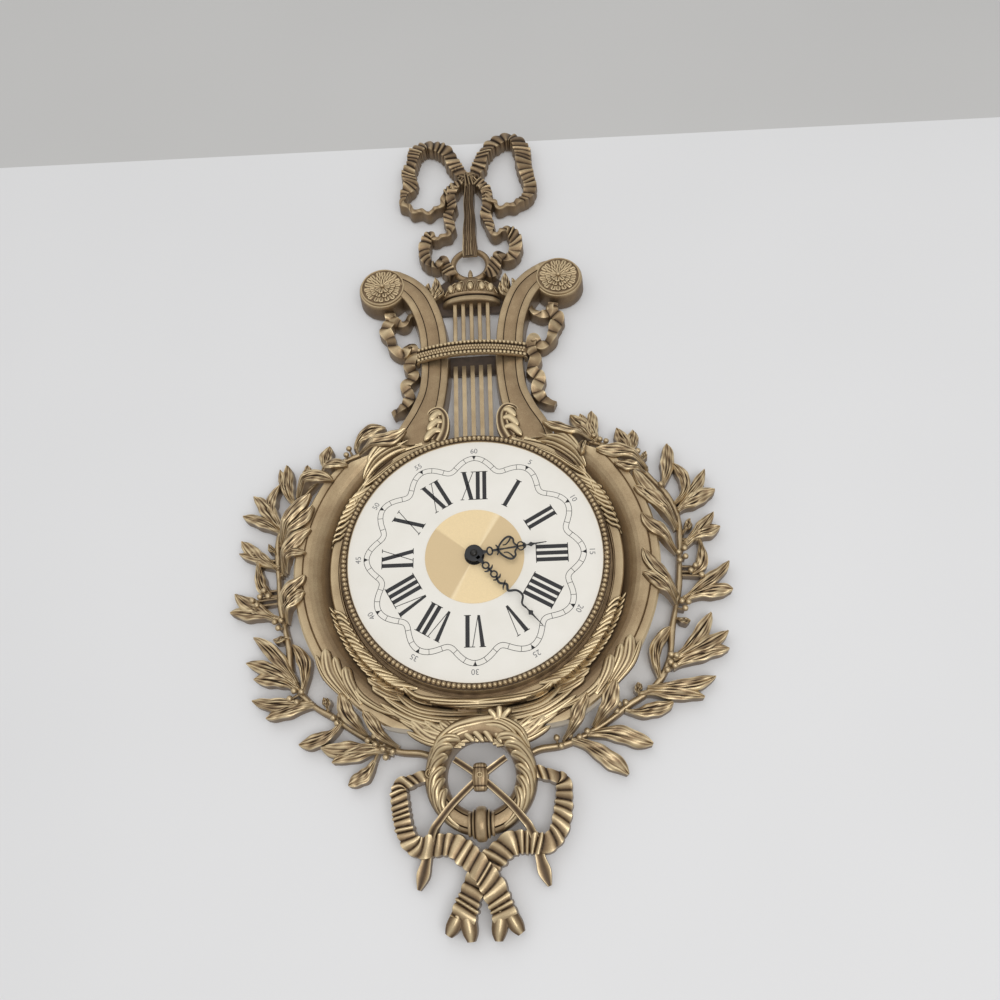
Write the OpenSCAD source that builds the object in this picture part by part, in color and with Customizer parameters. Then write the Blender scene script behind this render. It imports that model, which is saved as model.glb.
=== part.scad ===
// Lyre wall clock with a quartz movement, in millimetres, as it hangs: X right, Z up, front towards -Y.
// Every shape is drawn in the relief frame, with x right, y up from the dial's centre and z out of the wall,
// and upright() stands the relief up. The origin is the hanger's keyhole on the wall.

/* [Dial] */
// Radius of the printed dial that shows inside the beaded bezel
dial_r = 102; // [95:0.5:108]
// Height of the dial's face above the wall
dial_face = 30; // [28:0.5:34]
// Thickness of the dial plate
dial_t = 1.2; // [0.8:0.1:2]
// Radius of the spun gilt disc in the middle of the dial
centre_disc_r = 39.5; // [30:0.5:50]
// Thickness of the gilt disc
centre_disc_t = 0.4; // [0.3:0.1:0.8]
// Diameter of one bead of the bezel
bead_d = 3.8; // [3:0.1:4.4]
// Width of the flat ring that carries the beads
bezel_w = 5.6; // [5:0.1:7]

/* [Case body] */
// Outer radius of the round border
border_r = 147; // [143:1:152]
// Height of the border above the wall
border_h = 25; // [23:0.5:27]
// Width of the border outside its incised line
border_w = 7.5; // [5:0.5:9]
// Width of the flat band between the drum and the cove
band_w = 11.1; // [9:0.1:14]
// Height of the band above the wall
band_h = 20; // [18:0.5:22]
// Height of the cove's floor above the wall
cove_h = 13; // [10:0.5:16]
// Thickness of the floor under the dial
floor_t = 3; // [2:0.5:5]
// Radius of the open pocket behind the dial
pocket_r = 97; // [80:1:99]

/* [Lyre] */
// Width of an arm across its face
arm_w = 24; // [20:0.5:26]
// Height of an arm's face above the wall
arm_h = 19.5; // [17:0.5:21]
// Height of the lips over the face
lip_rise = 1; // [0.5:0.1:1.5]
// Radius of the round end that carries a rosette
scroll_r = 22; // [21:0.5:24]
// Height of the round end above the wall
scroll_h = 18.8; // [16:0.2:20]
// Radius of a rosette
rosette_r = 20.5; // [18:0.5:21]
// Number of petals round a rosette
petal_count = 12; // [8:1:16]
// Number of strings
string_count = 5; // [3:1:7]
// Distance between strings
string_pitch = 7.6; // [5:0.1:8]
// Width of one string
string_w = 3.6; // [2:0.1:4]
// Depth of one string from front to back
string_depth = 7; // [4:0.5:9]
// Thickness of the crown plate and of the bridge behind the strings
plate_t = 3; // [2:0.5:4]

/* [Ornament] */
// Height of the ribbons above the wall
ribbon_h = 14; // [10:0.5:16]
// Height of the laurel leaves above the wall
leaf_h = 12; // [9:0.5:14]
// Radius of one laurel berry
berry_r = 2.4; // [1.8:0.1:3]
// Radius of the middle of the pendant wreath
wreath_r = 33.75; // [31:0.25:36]
// Radius of the wreath's own round section
wreath_tube_r = 8; // [6:0.25:8]

/* [Hands] */
// Length of the minute hand from its pivot
minute_len = 80; // [70:1:85]
// Length of the hour hand from its pivot
hour_len = 58; // [45:1:62]
// Thickness of a hand
hand_t = 0.6; // [0.4:0.1:1]
// Direction of the minute hand, clockwise from twelve
minute_angle = 140; // [0:1:359]
// Direction of the hour hand, clockwise from twelve
hour_angle = 83; // [0:1:359]

/* [Movement] */
// Width and height of the movement's case
case_side = 56; // [54:1:60]
// Depth of the movement's case
case_depth = 16; // [15.6:0.1:18]
// Radius of the threaded bush through the dial
bush_r = 3.9; // [3.7:0.1:4.3]
// Radius of the hour tube
hour_tube_r = 2.5; // [2.3:0.1:2.8]
// Radius of the minute tube
minute_tube_r = 1.6; // [1.4:0.05:1.8]
// Diameter of the AA cell
cell_d = 14.3; // [14:0.1:14.5]
// Length of the AA cell's can
cell_len = 49; // [48:0.25:49.5]
// Thickness of the rubber gasket behind the dial floor
gasket_t = 0.8; // [0.5:0.1:1.2]

/* [Hanger] */
// Radius of the keyhole's round entry
key_r = 4.5; // [4:0.1:5.5]
// Width of the keyhole's slot
key_slot_w = 4.6; // [3.6:0.1:5.2]
// Length of the slot above the round entry
key_slot_len = 9; // [7:0.5:11]
// Thickness of the hanger plate
hanger_t = 1; // [0.8:0.1:1.2]

/* [Clearances] */
// Radial play of a shaft in its hole
run_fit = 0.05; // [0.02:0.01:0.1]
// Gap between pieces that lie beside each other
seat_gap = 0.2; // [0.1:0.05:0.3]

/* [Hidden] */
$fn = 64;
gold = [0.62, 0.48, 0.27];
dark_gold = [0.30, 0.23, 0.16];
cream = [0.92, 0.90, 0.85];
black_paint = [0.06, 0.06, 0.07];
dark_plastic = [0.16, 0.16, 0.17];
nylon = [0.90, 0.88, 0.80];
steel = [0.66, 0.67, 0.69];
brass = [0.80, 0.64, 0.30];
copper = [0.72, 0.40, 0.22];
green_board = [0.10, 0.32, 0.20];
rubber_black = [0.09, 0.09, 0.09];

// Places in the relief frame
hang_y = 268;
rosette_x = 82;
rosette_y = 276;
bezel_r = dial_r + bezel_w;
seat_r = dial_r + 1;
drum_r = bezel_r - seat_gap;
seat_h = dial_face - dial_t;
floor_h = seat_h - floor_t;
neck_r = drum_r + 4.6;
band_r = drum_r + band_w;
back = 0.8;
draft = 1.6;
// Radius of the border that the laurel is drawn round
drawn_border_r = 147;
grow = border_r / drawn_border_r;
// Middle of the wreath under the border, and where the pieces that hang with it are drawn
wreath_drop = 19;
wreath_y = -(border_r + wreath_drop);
drawn_wreath_y = -166;
// Height of a cut that goes through any ornament
tall = 40;

// Curves and sweeps
function blend(a, b, c, d, t) =
    0.5 * (2 * b + (c - a) * t + (2 * a - 5 * b + 4 * c - d) * t * t + (3 * b - a - 3 * c + d) * t * t * t);
function smooth(rows, steps) = let (last = len(rows) - 1) [
    for (i = [0 : last - 1]) for (j = [0 : steps - 1])
        blend(rows[max(i - 1, 0)], rows[i], rows[i + 1], rows[min(i + 2, last)], j / steps),
    rows[last]];
function heading(path, i) =
    let (a = path[max(i - 1, 0)], b = path[min(i + 1, len(path) - 1)], d = [b[0] - a[0], b[1] - a[1]])
    d / norm(d);
function mirrored(rows) = [for (r = rows) [-r[0], r[1], each [for (k = [2 : 1 : len(r) - 1]) r[k]]]];
function flip(rows) = [for (i = [len(rows) - 1 : -1 : 0]) rows[i]];
function mirrored_ribbon(rows) = [for (r = rows) [-r[0], r[1], r[2], r[4], r[3]]];

module upright() translate([0, 0, -hang_y]) rotate([90, 0, 0]) children();

// A solid along a path in the relief plane. Each station has a section of [across, height] points, which runs
// from the left foot over the top to the right foot.
module relief_sweep(path, sections) {
    n = len(path);
    m = len(sections[0]);
    points = [for (i = [0 : n - 1]) let (t = heading(path, i)) for (s = sections[i])
        [path[i][0] - t[1] * s[0], path[i][1] + t[0] * s[0], s[1]]];
    sides = [for (i = [0 : n - 2]) for (j = [0 : m - 1])
        let (a = i * m + j, b = i * m + (j + 1) % m) each [[a, a + m, b + m], [a, b + m, b]]];
    caps = [for (k = [1 : m - 2]) each [[0, k, k + 1], [(n - 1) * m, (n - 1) * m + k + 1, (n - 1) * m + k]]];
    polyhedron(points, concat(sides, caps));
}

// A ribbon on the wall side. Rows are [x, y, width, height of the left edge, height of the right edge].
module ribbon(rows, steps = 2, foot = back) {
    path = smooth(rows, steps);
    relief_sweep(path, [for (p = path) [[p[2] / 2 + draft / 2, foot], [p[2] / 2, p[3]],
        [0, (p[3] + p[4]) / 2 + 0.6],
        [-p[2] / 2, p[4]], [-p[2] / 2 - draft / 2, foot]]]);
}

// A lance-shaped leaf with a ridge along its middle. low and high are heights at [base, tip], and the leaf
// has come to its upper height at the share rise of its length.
leaf_at = [0, 0.3, 0.6, 0.85, 1];
leaf_width = [0.3, 0.85, 1, 0.66, 0.14];
leaf_ridge = 1.6;
module leaf(base, tip, bow, width, low, high, rise = 1) {
    side = [base[1] - tip[1], tip[0] - base[0]] / norm(tip - base);
    path = [for (t = leaf_at) base + (tip - base) * t + side * bow * 4 * t * (1 - t)];
    relief_sweep(path, [for (i = [0 : len(leaf_at) - 1])
        let (t = leaf_at[i], w = width * leaf_width[i] / 2, a = low[0] + (low[1] - low[0]) * t,
            b = high[0] + (high[1] - high[0]) * min(1, t / rise) + leaf_ridge * sin(180 * t))
        [[w + 0.5, a], [w, b - leaf_ridge], [0, b], [-w, b - leaf_ridge], [-w - 0.5, a]]]);
}

// Case body
outline_right = [[56, 113], [63, 110], [76, 104], [98, 94.5], [118, 83.5], [134, 60], [144, 30], [147, 0],
    [145, -40], [134, -72], [114, -103], [85, -124], [50, -133], [0, -137]];
module body_prism(high) {
    right = [for (p = smooth(outline_right, 3)) [p[0], p[1]] * grow];
    linear_extrude(high) polygon(concat([[0, 90]],
        right, mirrored(flip([for (i = [0 : len(right) - 2]) right[i]]))));
    cylinder(r = neck_r, h = high);
}

module body_profile() {
    line_r = border_r - border_w;
    cove_out = line_r - 1.4;
    polygon(concat(
        [[0, 0], [border_r, 0], [border_r, border_h - 1.5], [border_r - 1.5, border_h],
        [line_r + 0.7, border_h],
            [line_r, border_h - 1.2], [line_r - 0.7, border_h], [cove_out, border_h]],
        [for (a = [0 : 10 : 80]) [cove_out - (cove_out - band_r) * sin(a),
        border_h - (border_h - cove_h) * (1 - pow(cos(a), 2.2))]],
        [[band_r + 0.2, cove_h], [band_r, band_h - 1], [band_r - 1, band_h], [band_r - 7, band_h],
        [band_r - 7.6, band_h - 1.2],
            [neck_r - 1.6, band_h - 1.2], [neck_r - 2.4, band_h - 4], [drum_r, band_h - 4],
            [drum_r, dial_face],
            [seat_r + seat_gap, dial_face], [seat_r + seat_gap, seat_h], [0, seat_h]]));
}

module case_body() color(gold) upright() difference() {
    intersection() {
        rotate_extrude($fn = 120) body_profile();
        translate([0, 0, -1]) body_prism(dial_face + 2);
    }
    translate([0, 0, -1]) cylinder(r = pocket_r, h = floor_h + 1);
    translate([0, 0, -1]) cylinder(r = bush_r + seat_gap, h = dial_face + 2);
}

// Lyre arms. Rows are [x, y, width added to the arm's own, share of the drop that the face has there].
arm_drop = 4;
arm_rows = [[52, 99, 20, 0], [48.4, 118, 11, 0], [41.4, 138, 4.4, 0.2], [35.7, 160, 0.4, 0.6],
    [33.5, 184, 0, 1], [34, 205, 0, 1], [36, 227, 0, 0.8], [40.5, 245, 0, 0.3], [48, 262, 0, 0],
    [58, 274.5, -1, 0], [70, 283, -2, 0], [82, 286, -4, 0]];
lip_w = 3;
groove = 0.8;
arm_crown = 0.8;
module arm_solid(side) mirror([side > 0 ? 1 : 0, 0, 0]) {
    path = smooth(mirrored(arm_rows), 2);
    half = [for (p = path) let (w = (arm_w + p[2]) / 2, face = arm_h - arm_drop * p[3],
        lip_h = face + lip_rise)
        [[w + draft, back], [w, lip_h - 1], [w - 1, lip_h], [w - lip_w, lip_h],
        [w - lip_w - groove, face - groove],
            [w - lip_w - 2 * groove, face], [0, face + arm_crown]]];
    sections = [for (h = half) concat(h, mirrored(flip([for (i = [0 : len(h) - 2]) h[i]])))];
    difference() {
        union() {
            relief_sweep(path, sections);
            translate([-rosette_x, rosette_y, back])
                cylinder(r1 = scroll_r + draft, r2 = scroll_r, h = scroll_h - back);
        }
        translate([-rosette_x, rosette_y, scroll_h]) cylinder(r = scroll_r, h = arm_h);
        translate([0, 0, -1]) body_prism(dial_face + 2);
    }
}
module lyre_arm(side) color(gold) upright() {
    arm_solid(side);
    tuft_low = plate_front + seat_gap;
    mirror([side > 0 ? 1 : 0, 0, 0]) leaf([-39, 262], [-33, 287], -3, 9, [tuft_low, tuft_low], [14, 15]);
}

// Rosettes: a rimmed disc with two rings of petals and a boss
module rosette(side) color(gold) upright() translate([side * rosette_x, rosette_y, scroll_h]) intersection() {
    union() {
        rotate_extrude() polygon([[0, 0], [rosette_r, 0], [rosette_r, 1.6], [rosette_r - 1, 2.4],
            [rosette_r - 2.2, 2.4], [rosette_r - 3.2, 1], [0, 1.4]]);
        for (i = [0 : petal_count - 1]) rotate(i * 360 / petal_count)
            translate([rosette_r * 0.62, 0, -0.2]) sphere(r = 3.2);
        for (i = [0 : petal_count / 2 - 1]) rotate((2 * i + 0.5) * 360 / petal_count)
            translate([rosette_r * 0.34, 0, 0.6]) sphere(r = 2.4);
        translate([0, 0, 1]) sphere(r = 3.6);
    }
    cylinder(r = rosette_r, h = 10);
}

// Crown plate, bridge and strings
plate_front = back + plate_t;
string_front = plate_front + string_depth;
crown_low = 251;
crown_high = 290;
bridge_low = 184;
bridge_high = 204;
string_gap_low = 190;
string_gap_high = 200;
string_top = 259;
module between_arms() difference() {
    children();
    arm_solid(-1);
    arm_solid(1);
}
screw_x = 15;
screw_r = 1.5;
module crown_plate() color(dark_gold) upright() difference() {
    between_arms() translate([0, 0, hanger_t]) linear_extrude(plate_front - hanger_t)
        polygon([[-30, crown_low], [30, crown_low], [40, 262], [37, 280], [25, crown_high], [-25, crown_high],
            [-37, 280], [-40, 262]]);
    translate([0, hang_y, -1]) keyhole(key_r + 1.5, key_slot_w + 5, key_slot_len, plate_front + 2);
    for (s = [-1, 1]) translate([s * screw_x, hang_y, -1]) cylinder(r = screw_r + run_fit,
        h = plate_front + 2);
}
module string_bridge() color(dark_gold) upright() between_arms() translate([-30, bridge_low, back])
    cube([60, bridge_high - bridge_low, plate_t]);
module string_set(low, high) for (i = [0 : string_count - 1])
    translate([(i - (string_count - 1) / 2) * string_pitch - string_w / 2, low, plate_front])
        cube([string_w, high - low, string_depth]);
module strings_upper() color(gold) upright() string_set(string_gap_high, string_top);
module strings_lower() color(gold) upright() difference() {
    string_set(neck_r - 14, string_gap_low);
    cylinder(r = neck_r, h = dial_face);
}

// Crown cap: a half-turned cap with a cornice and lobes, on the crown plate.
// Rows are [y, half width, height].
crown_rows = [[258, 23.5, 10.6], [259.5, 25, 12.6], [263.5, 25, 12.6], [264.5, 23, 10.8], [266, 23, 10.8],
    [267.5, 25.5, 12.6], [272, 25.8, 13.4], [278, 22.5, 12.8], [283, 16, 11.2], [286, 8, 9.8]];
lobe_w = 6.5;
crown_steps = 8;
module crown_cap() color(gold) upright() difference() {
    union() {
        relief_sweep([for (r = crown_rows) [0, r[0]]], [for (r = crown_rows) [for (k = [0 : crown_steps])
            let (a = 180 * k / crown_steps) [r[1] * cos(a), plate_front + r[2] * sin(a)]]]);
        for (a = [30 : 30 : 150]) leaf([25 * cos(a), 268], [11 * cos(a), 285], 0, lobe_w,
            [plate_front, plate_front], [plate_front + 13.4 * sin(a) + 1, plate_front + 10.4 * sin(a) + 1]);
    }
    translate([0, hang_y, plate_front - 1]) keyhole(key_r + 1.5, key_slot_w + 5, key_slot_len, 6);
    translate([-20, string_gap_high, 0]) cube([40, string_top - string_gap_high + seat_gap,
        string_front + seat_gap]);
    translate([0, ring_y, 0]) cylinder(r = ring_r + ring_tube + seat_gap,
        h = plate_front + 2 * ring_tube + seat_gap);
    arm_solid(-1);
    arm_solid(1);
}
module crown_bud() color(gold) upright() translate([0, 286, plate_front + 8.8]) rotate([-90, 0, 0])
    rotate_extrude() polygon([[0, 0], [1.8, 0], [2.4, 2.6], [2, 6], [0.8, 8.4], [0, 9]]);

// Crossband: a strip bowed over both arms, with a raised rib along each edge
band_low = 191.5;
band_high = 206;
band_half = 49.8;
band_leg = 9;
band_bow = 8.5;
band_span = 46;
band_t = 2.5;
band_rib = 3.6;
band_seat = arm_h - arm_drop + lip_rise + seat_gap;
module band_shape(out) {
    under = [for (x = [band_span : -4 : -band_span]) [x, band_seat + band_bow * (1 - pow(x / band_span, 2))]];
    top = [for (p = flip(under)) [p[0], p[1] + band_t + out]];
    leg_in = band_half - 2.8;
    end = [[band_half - 0.8 + out, band_seat], [band_half + out, band_seat - 3], [band_half + out, band_leg],
        [leg_in, band_leg], [leg_in, band_seat - 0.6]];
    polygon(concat(top, end, under, mirrored(flip(end))));
}
module crossband() color(gold) upright() translate([0, band_high, 0]) rotate([90, 0, 0]) {
    linear_extrude(band_high - band_low) band_shape(0);
    linear_extrude(band_rib) band_shape(1);
    translate([0, 0, band_high - band_low - band_rib]) linear_extrude(band_rib) band_shape(1);
}

// Hanging ring and bow. Ribbon rows are [x, y, width, height of the left edge, height of the right edge].
ring_y = 304.6;
ring_r = 17;
ring_tube = 3;
knot_y = 408;
drawn_knot_y = 408;
// Heights between the ring and the knot, which follow the knot
function below_knot(rows) = [for (r = rows) [r[0], r[1] < ring_y ? r[1] :
    ring_y + (r[1] - ring_y) * (knot_y - ring_y) / (drawn_knot_y - ring_y),
        each [for (k = [2 : 1 : len(r) - 1]) r[k]]]];
knot_r = 8.5;
rh = ribbon_h;
bow_left_rows = [[-5, 411, 10, rh, rh], [-14, 428, 12, rh, rh], [-20, 444, 13, rh, rh - 2],
    [-31, 455, 14, rh, rh - 4], [-44, 458, 14, rh, rh - 4], [-54, 450, 13, rh, rh - 3],
    [-57, 436, 11, rh, rh - 2], [-61, 422, 12, rh - 4, rh], [-58, 408, 13, rh - 4, rh],
    [-64, 396, 11, rh - 2, rh], [-66, 385, 8, rh, rh], [-57, 374, 5, rh, rh], [-44, 369, 5, rh, rh],
    [-33, 371, 5, rh, rh], [-26, 380, 6, rh, rh], [-20, 392, 8, rh, rh], [-8, 405, 9, rh, rh]];
bow_right_rows = [[5, 411, 10, rh, rh], [11, 425, 12, rh, rh], [15, 440, 12, rh - 2, rh],
    [24, 453, 13, rh - 4, rh], [38, 461, 14, rh - 4, rh], [50, 457, 15, rh - 4, rh],
    [55, 442, 15, rh - 4, rh], [56, 424, 14, rh - 3, rh], [59, 407, 12, rh - 3, rh],
    [61, 393, 11, rh - 2, rh], [57, 381, 9, rh, rh], [47, 374, 6, rh, rh], [36, 369, 5, rh, rh],
    [28, 371, 5, rh, rh], [21, 380, 6, rh, rh], [18, 392, 8, rh, rh], [8, 405, 9, rh, rh]];
side_left_rows = [[-13, 398, 7, rh, rh], [-18, 388, 8, rh, rh], [-17, 375, 9, rh, rh - 3],
    [-21, 362, 8, rh - 3, rh], [-18, 349, 8, rh, rh - 3], [-22, 340, 7, rh, rh], [-30, 335, 5, rh, rh],
    [-38, 340, 8, rh, rh], [-43, 331, 9, rh - 3, rh], [-44, 318, 10, rh - 3, rh], [-40, 307, 8, rh, rh],
    [-32, 303, 7, rh, rh], [-26, 309, 8, rh, rh], [-22, 299, 10, rh, rh - 3], [-16, 290, 8, rh, rh]];
side_right_rows = [[13, 398, 7, rh, rh], [17, 388, 8, rh, rh], [18, 375, 9, rh - 3, rh],
    [16, 362, 9, rh, rh - 3], [20, 350, 8, rh - 3, rh], [20, 340, 7, rh, rh], [28, 337, 5, rh, rh],
    [37, 341, 8, rh, rh], [43, 333, 10, rh, rh - 3], [44, 321, 11, rh, rh - 3], [41, 310, 9, rh, rh],
    [34, 306, 7, rh, rh], [28, 312, 8, rh, rh], [24, 303, 10, rh - 3, rh], [21, 293, 10, rh - 3, rh],
    [15, 287, 8, rh, rh]];
module ring_space() translate([0, ring_y, 0]) cylinder(r = ring_r + ring_tube, h = tall);
module knot_space() translate([0, knot_y, 0]) cylinder(r = knot_r, h = tall);
module hanging_ring() color(gold) upright() translate([0, ring_y, plate_front + ring_tube])
    rotate_extrude() translate([ring_r, 0]) circle(r = ring_tube, $fn = 32);
module at_knot() translate([0, knot_y - drawn_knot_y, 0]) children();
module bow_loop(rows) color(gold) upright() difference() {
    at_knot() ribbon(rows);
    knot_space();
}
module bow_knot() color(gold) upright() translate([0, knot_y, 0]) rotate_extrude()
    polygon([[0, back], [knot_r, back], [knot_r, 13], [knot_r - 1.6, 16], [knot_r - 4.5, 18], [0, 18.6]]);
drape_w = 15;
drape_fold = 1.6;
// Rows are [x, y, width, foot, top].
drape_rows = below_knot([[0, 402, 13, back, 15], [0, 390, 13, back, 16], [0, 370, 14, back, 16],
    [0, 350, 15, back, 16], [0, 329, 16, back, 16], [0, 325.5, 16, 10.2, 16], [0, 314, 14, 10.4, 14.5]]);
module bow_drape() color(gold) upright() difference() {
    relief_sweep(drape_rows, [for (r = drape_rows) concat([[r[2] / 2, r[3]]],
        [for (k = [0 : 8]) [r[2] / 2 * (1 - k / 4), r[4] - (k % 2 == 0 ? drape_fold : 0)]],
        [[-r[2] / 2, r[3]]])]);
    at_knot() ribbon(bow_left_rows);
    at_knot() ribbon(bow_right_rows);
    knot_space();
}
module side_ribbon(rows, loop_rows) color(gold) upright() difference() {
    ribbon(below_knot(rows));
    at_knot() ribbon(loop_rows);
    knot_space();
    ring_space();
    translate([-drape_w / 2 - 1, 300, 0]) cube([drape_w + 2, 110, tall]);
    translate([-60, crown_low, 0]) cube([120, crown_high - crown_low, tall]);
}

// Ribbon swags outside the arms
swag_rows = [[76, 252, 9, rh, rh - 3], [75, 243, 9, rh - 3, rh], [80, 234, 10, rh, rh - 3],
    [75, 224, 9, rh - 3, rh], [72, 213, 8, rh, rh], [63, 206, 8, rh, rh - 3], [56, 214, 8, rh, rh],
    [53, 205, 9, rh - 3, rh], [57, 193, 10, rh, rh - 3], [53, 182, 9, rh - 3, rh], [60, 172, 9, rh, rh - 3],
    [56, 160, 8, rh - 3, rh], [62, 150, 8, rh, rh], [72, 145, 6, rh - 4, rh - 4]];
module ribbon_swag(side) color(gold) upright() mirror([side < 0 ? 1 : 0, 0, 0]) difference() {
    ribbon(swag_rows);
    arm_solid(1);
    translate([0, band_low - seat_gap, 0]) cube([band_half + 1 + seat_gap,
        band_high - band_low + 2 * seat_gap, tall]);
    translate([0, 0, -1]) body_prism(dial_face);
}

// Laurel sprays. Leaf rows are [base x, base y, tip x, tip y, bow, width, 1 where the tip lies on the
// border].
laurel_left_leaves = [[-100, 108, -57, 119, -4, 12, 1], [-103, 112, -78, 132, 8, 12, 0],
    [-131, 92, -126, 116, 1, 11, 0], [-143, 82, -145, 99, 1, 7, 0], [-152, 68, -118, 74, 10, 11, 1],
    [-134, 86, -106, 88, 3, 9, 1], [-155, 64, -163, 100, 2, 10, 0], [-155, 62, -169, 96, 2, 8, 0],
    [-164, 44, -168, 82, 9, 9, 0], [-163, 38, -190, 72, -2, 12, 0], [-163, 36, -198, 54, -2, 10, 0],
    [-163, 27, -136, 63, 2, 12, 1], [-162, 26, -133, 52, -3, 10, 1], [-160, 0, -134, 32, 4, 11, 1],
    [-158, 2, -137, 11, 5, 8, 1], [-164, 6, -197, 31, 3, 11, 0], [-164, 4, -198, 20, -3, 9, 0],
    [-167, 18, -174, 27, 0, 5, 0], [-181, 12, -168, -18, -5, 9, 0], [-160, -38, -198, -15, 3, 12, 0],
    [-160, -40, -201, -31, -4, 12, 0], [-156, -35, -136, -8, 3, 11, 1], [-154, -42, -136, -22, 3, 10, 1],
    [-151, -54, -164, -55, 0, 6, 0], [-143, -90, -180, -53, -3, 11, 0], [-143, -92, -184, -73, -2, 11, 0],
    [-142, -96, -177, -86, -4, 12, 0], [-138, -98, -148, -60, -6, 10, 0],
    [-130, -106, -177, -103, 3, 10, 0], [-128, -109, -165, -117, -2, 10, 0],
    [-106, -122, -138, -138, 4, 11, 0], [-117, -112, -121, -103, 0, 6, 0],
    [-86, -134, -104, -104, 2, 11, 1], [-62, -143, -86, -118, 2, 9, 1], [-72, -141, -121, -141, 3, 12, 0],
    [-66, -147, -112, -152, -5, 11, 0], [-80, -152, -99, -169, 2, 11, 0]];
laurel_right_leaves = [[102, 109, 60, 119, 3, 9, 1], [104, 106, 84, 133, -2, 11, 0],
    [105, 106, 93, 134, 0, 10, 0], [107, 105, 103, 136, 2, 11, 0], [97, 103, 90, 86, -1, 6, 1],
    [132, 93, 123, 118, -1, 10, 0], [134, 93, 137, 115, 0, 11, 0], [140, 86, 146, 94, 0, 5, 0],
    [146, 78, 103, 90, -3, 11, 1], [144, 74, 117, 77, 2, 9, 1], [157, 62, 164, 100, -2, 12, 0],
    [165, 45, 167, 81, -10, 9, 0], [167, 40, 193, 74, -2, 9, 0], [167, 38, 199, 55, 2, 12, 0],
    [165, 25, 132, 68, 2, 11, 1], [164, 22, 131, 54, -3, 11, 1], [162, 2, 135, 30, 2, 11, 1],
    [169, 10, 195, 35, -2, 9, 0], [170, 8, 199, 22, 3, 12, 0], [169, 18, 176, 30, 0, 6, 0],
    [181, 12, 172, -18, 5, 9, 0], [163, -37, 202, -8, -2, 10, 0], [164, -39, 202, -32, 4, 12, 0],
    [159, -35, 133, 0, 2, 10, 1], [157, -42, 131, -20, -2, 10, 1], [156, -53, 166, -56, 0, 6, 0],
    [150, -84, 183, -50, -4, 11, 0], [150, -86, 194, -65, -2, 11, 0], [149, -92, 193, -79, 4, 12, 0],
    [138, -100, 150, -60, 7, 10, 0], [128, -106, 180, -100, -3, 10, 0], [122, -111, 170, -115, 3, 11, 0],
    [110, -122, 146, -118, -4, 11, 0], [121, -111, 121, -102, 0, 6, 0], [85, -134, 103, -103, -2, 12, 1],
    [62, -142, 81, -112, -2, 10, 1], [80, -139, 128, -148, 3, 13, 0], [68, -143, 108, -169, 4, 13, 0]];
laurel_left_berries = [[-109, 112], [-111, 106], [-150, 65], [-183, -22], [-179, -26], [-177, -19],
    [-174, -14], [-170, -19], [-163, -41], [-158, -40], [-160, -46], [-144, -97], [-138, -98], [-147, -103],
    [-141, -106], [-112, -119], [-107, -117], [-109, -123], [-85, -137], [-80, -134], [-79, -140],
    [-73, -144], [-71, -150], [-66, -146]];
laurel_right_berries = [[103, 111], [108, 107], [113, 105], [139, 94], [136, 91], [155, 62], [163, 1],
    [168, 4], [163, -6], [168, -3], [171, -15], [175, -11], [179, -19], [161, -40], [166, -41], [163, -46],
    [148, -82], [152, -83], [147, -88], [150, -91], [144, -94], [105, -118], [110, -117], [103, -123],
    [67, -139], [74, -141], [80, -137], [57, -141], [60, -147]];
laurel_stem = [[36, -151], [45, -147.5], [62, -145.5], [80, -138.5], [97, -129], [112, -118.5], [127, -110],
    [140, -98], [148.5, -80], [151.5, -62], [156, -45], [161, -25], [163.5, -5], [166, 15], [166.5, 33],
    [160, 53], [150, 67], [140.5, 79.5], [130, 90.5], [115, 101.5], [100, 107.5], [85, 113.5], [70, 117]];
stem_w = 5;
stalk_w = 2;
rest_h = border_h + seat_gap;
function on_line(p, a, b) = a + (b - a) * max(0, min(1, (p - a) * (b - a) / ((b - a) * (b - a))));
function nearest(p, path) = let (c = [for (i = [0 : len(path) - 2]) on_line(p, path[i], path[i + 1])],
    d = [for (q = c) norm(p - q)], m = min(d)) [for (i = [0 : len(c) - 1]) if (d[i] == m) c[i]][0];
module stalk(from, path, reach) {
    to = nearest(from, path);
    section = [[stalk_w / 2 + 0.5, back], [stalk_w / 2, 7], [-stalk_w / 2, 7], [-stalk_w / 2 - 0.5, back]];
    if (norm(to - from) > reach) relief_sweep([from, to], [section, section]);
}
module laurel_leaf(l) {
    over = l[6] > 0;
    leaf([l[0], l[1]] * grow, [l[2], l[3]] * grow, l[4], l[5], over ? [4, rest_h - 1] : [back, back],
        over ? [leaf_h - 1, rest_h + 3.5] : [leaf_h - 1, leaf_h - 2], over ? 0.3 : 1);
}
module laurel(side, leaves, berries) color(gold) upright() difference() {
    path = [for (p = laurel_stem) [side * p[0], p[1]] * grow];
    union() {
        relief_sweep(path, [for (p = path) [[stem_w / 2 + 0.6, back], [stem_w / 2, 7.5], [0, 9.5],
            [-stem_w / 2, 7.5], [-stem_w / 2 - 0.6, back]]]);
        for (l = leaves) {
            laurel_leaf(l);
            stalk([l[0], l[1]] * grow, path, stalk_w);
        }
        for (b = berries) {
            stalk(b * grow, path, berry_r);
            translate([b[0] * grow, b[1] * grow, 0]) {
                translate([0, 0, leaf_h]) sphere(r = berry_r);
                translate([0, 0, 4]) cylinder(r = berry_r * 0.6, h = leaf_h - 4);
            }
        }
    }
    translate([0, 0, -1]) body_prism(rest_h + 1);
    arm_solid(side);
    translate([0, wreath_y, 0]) cylinder(r = wreath_r + wreath_tube_r, h = tall);
}

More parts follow.
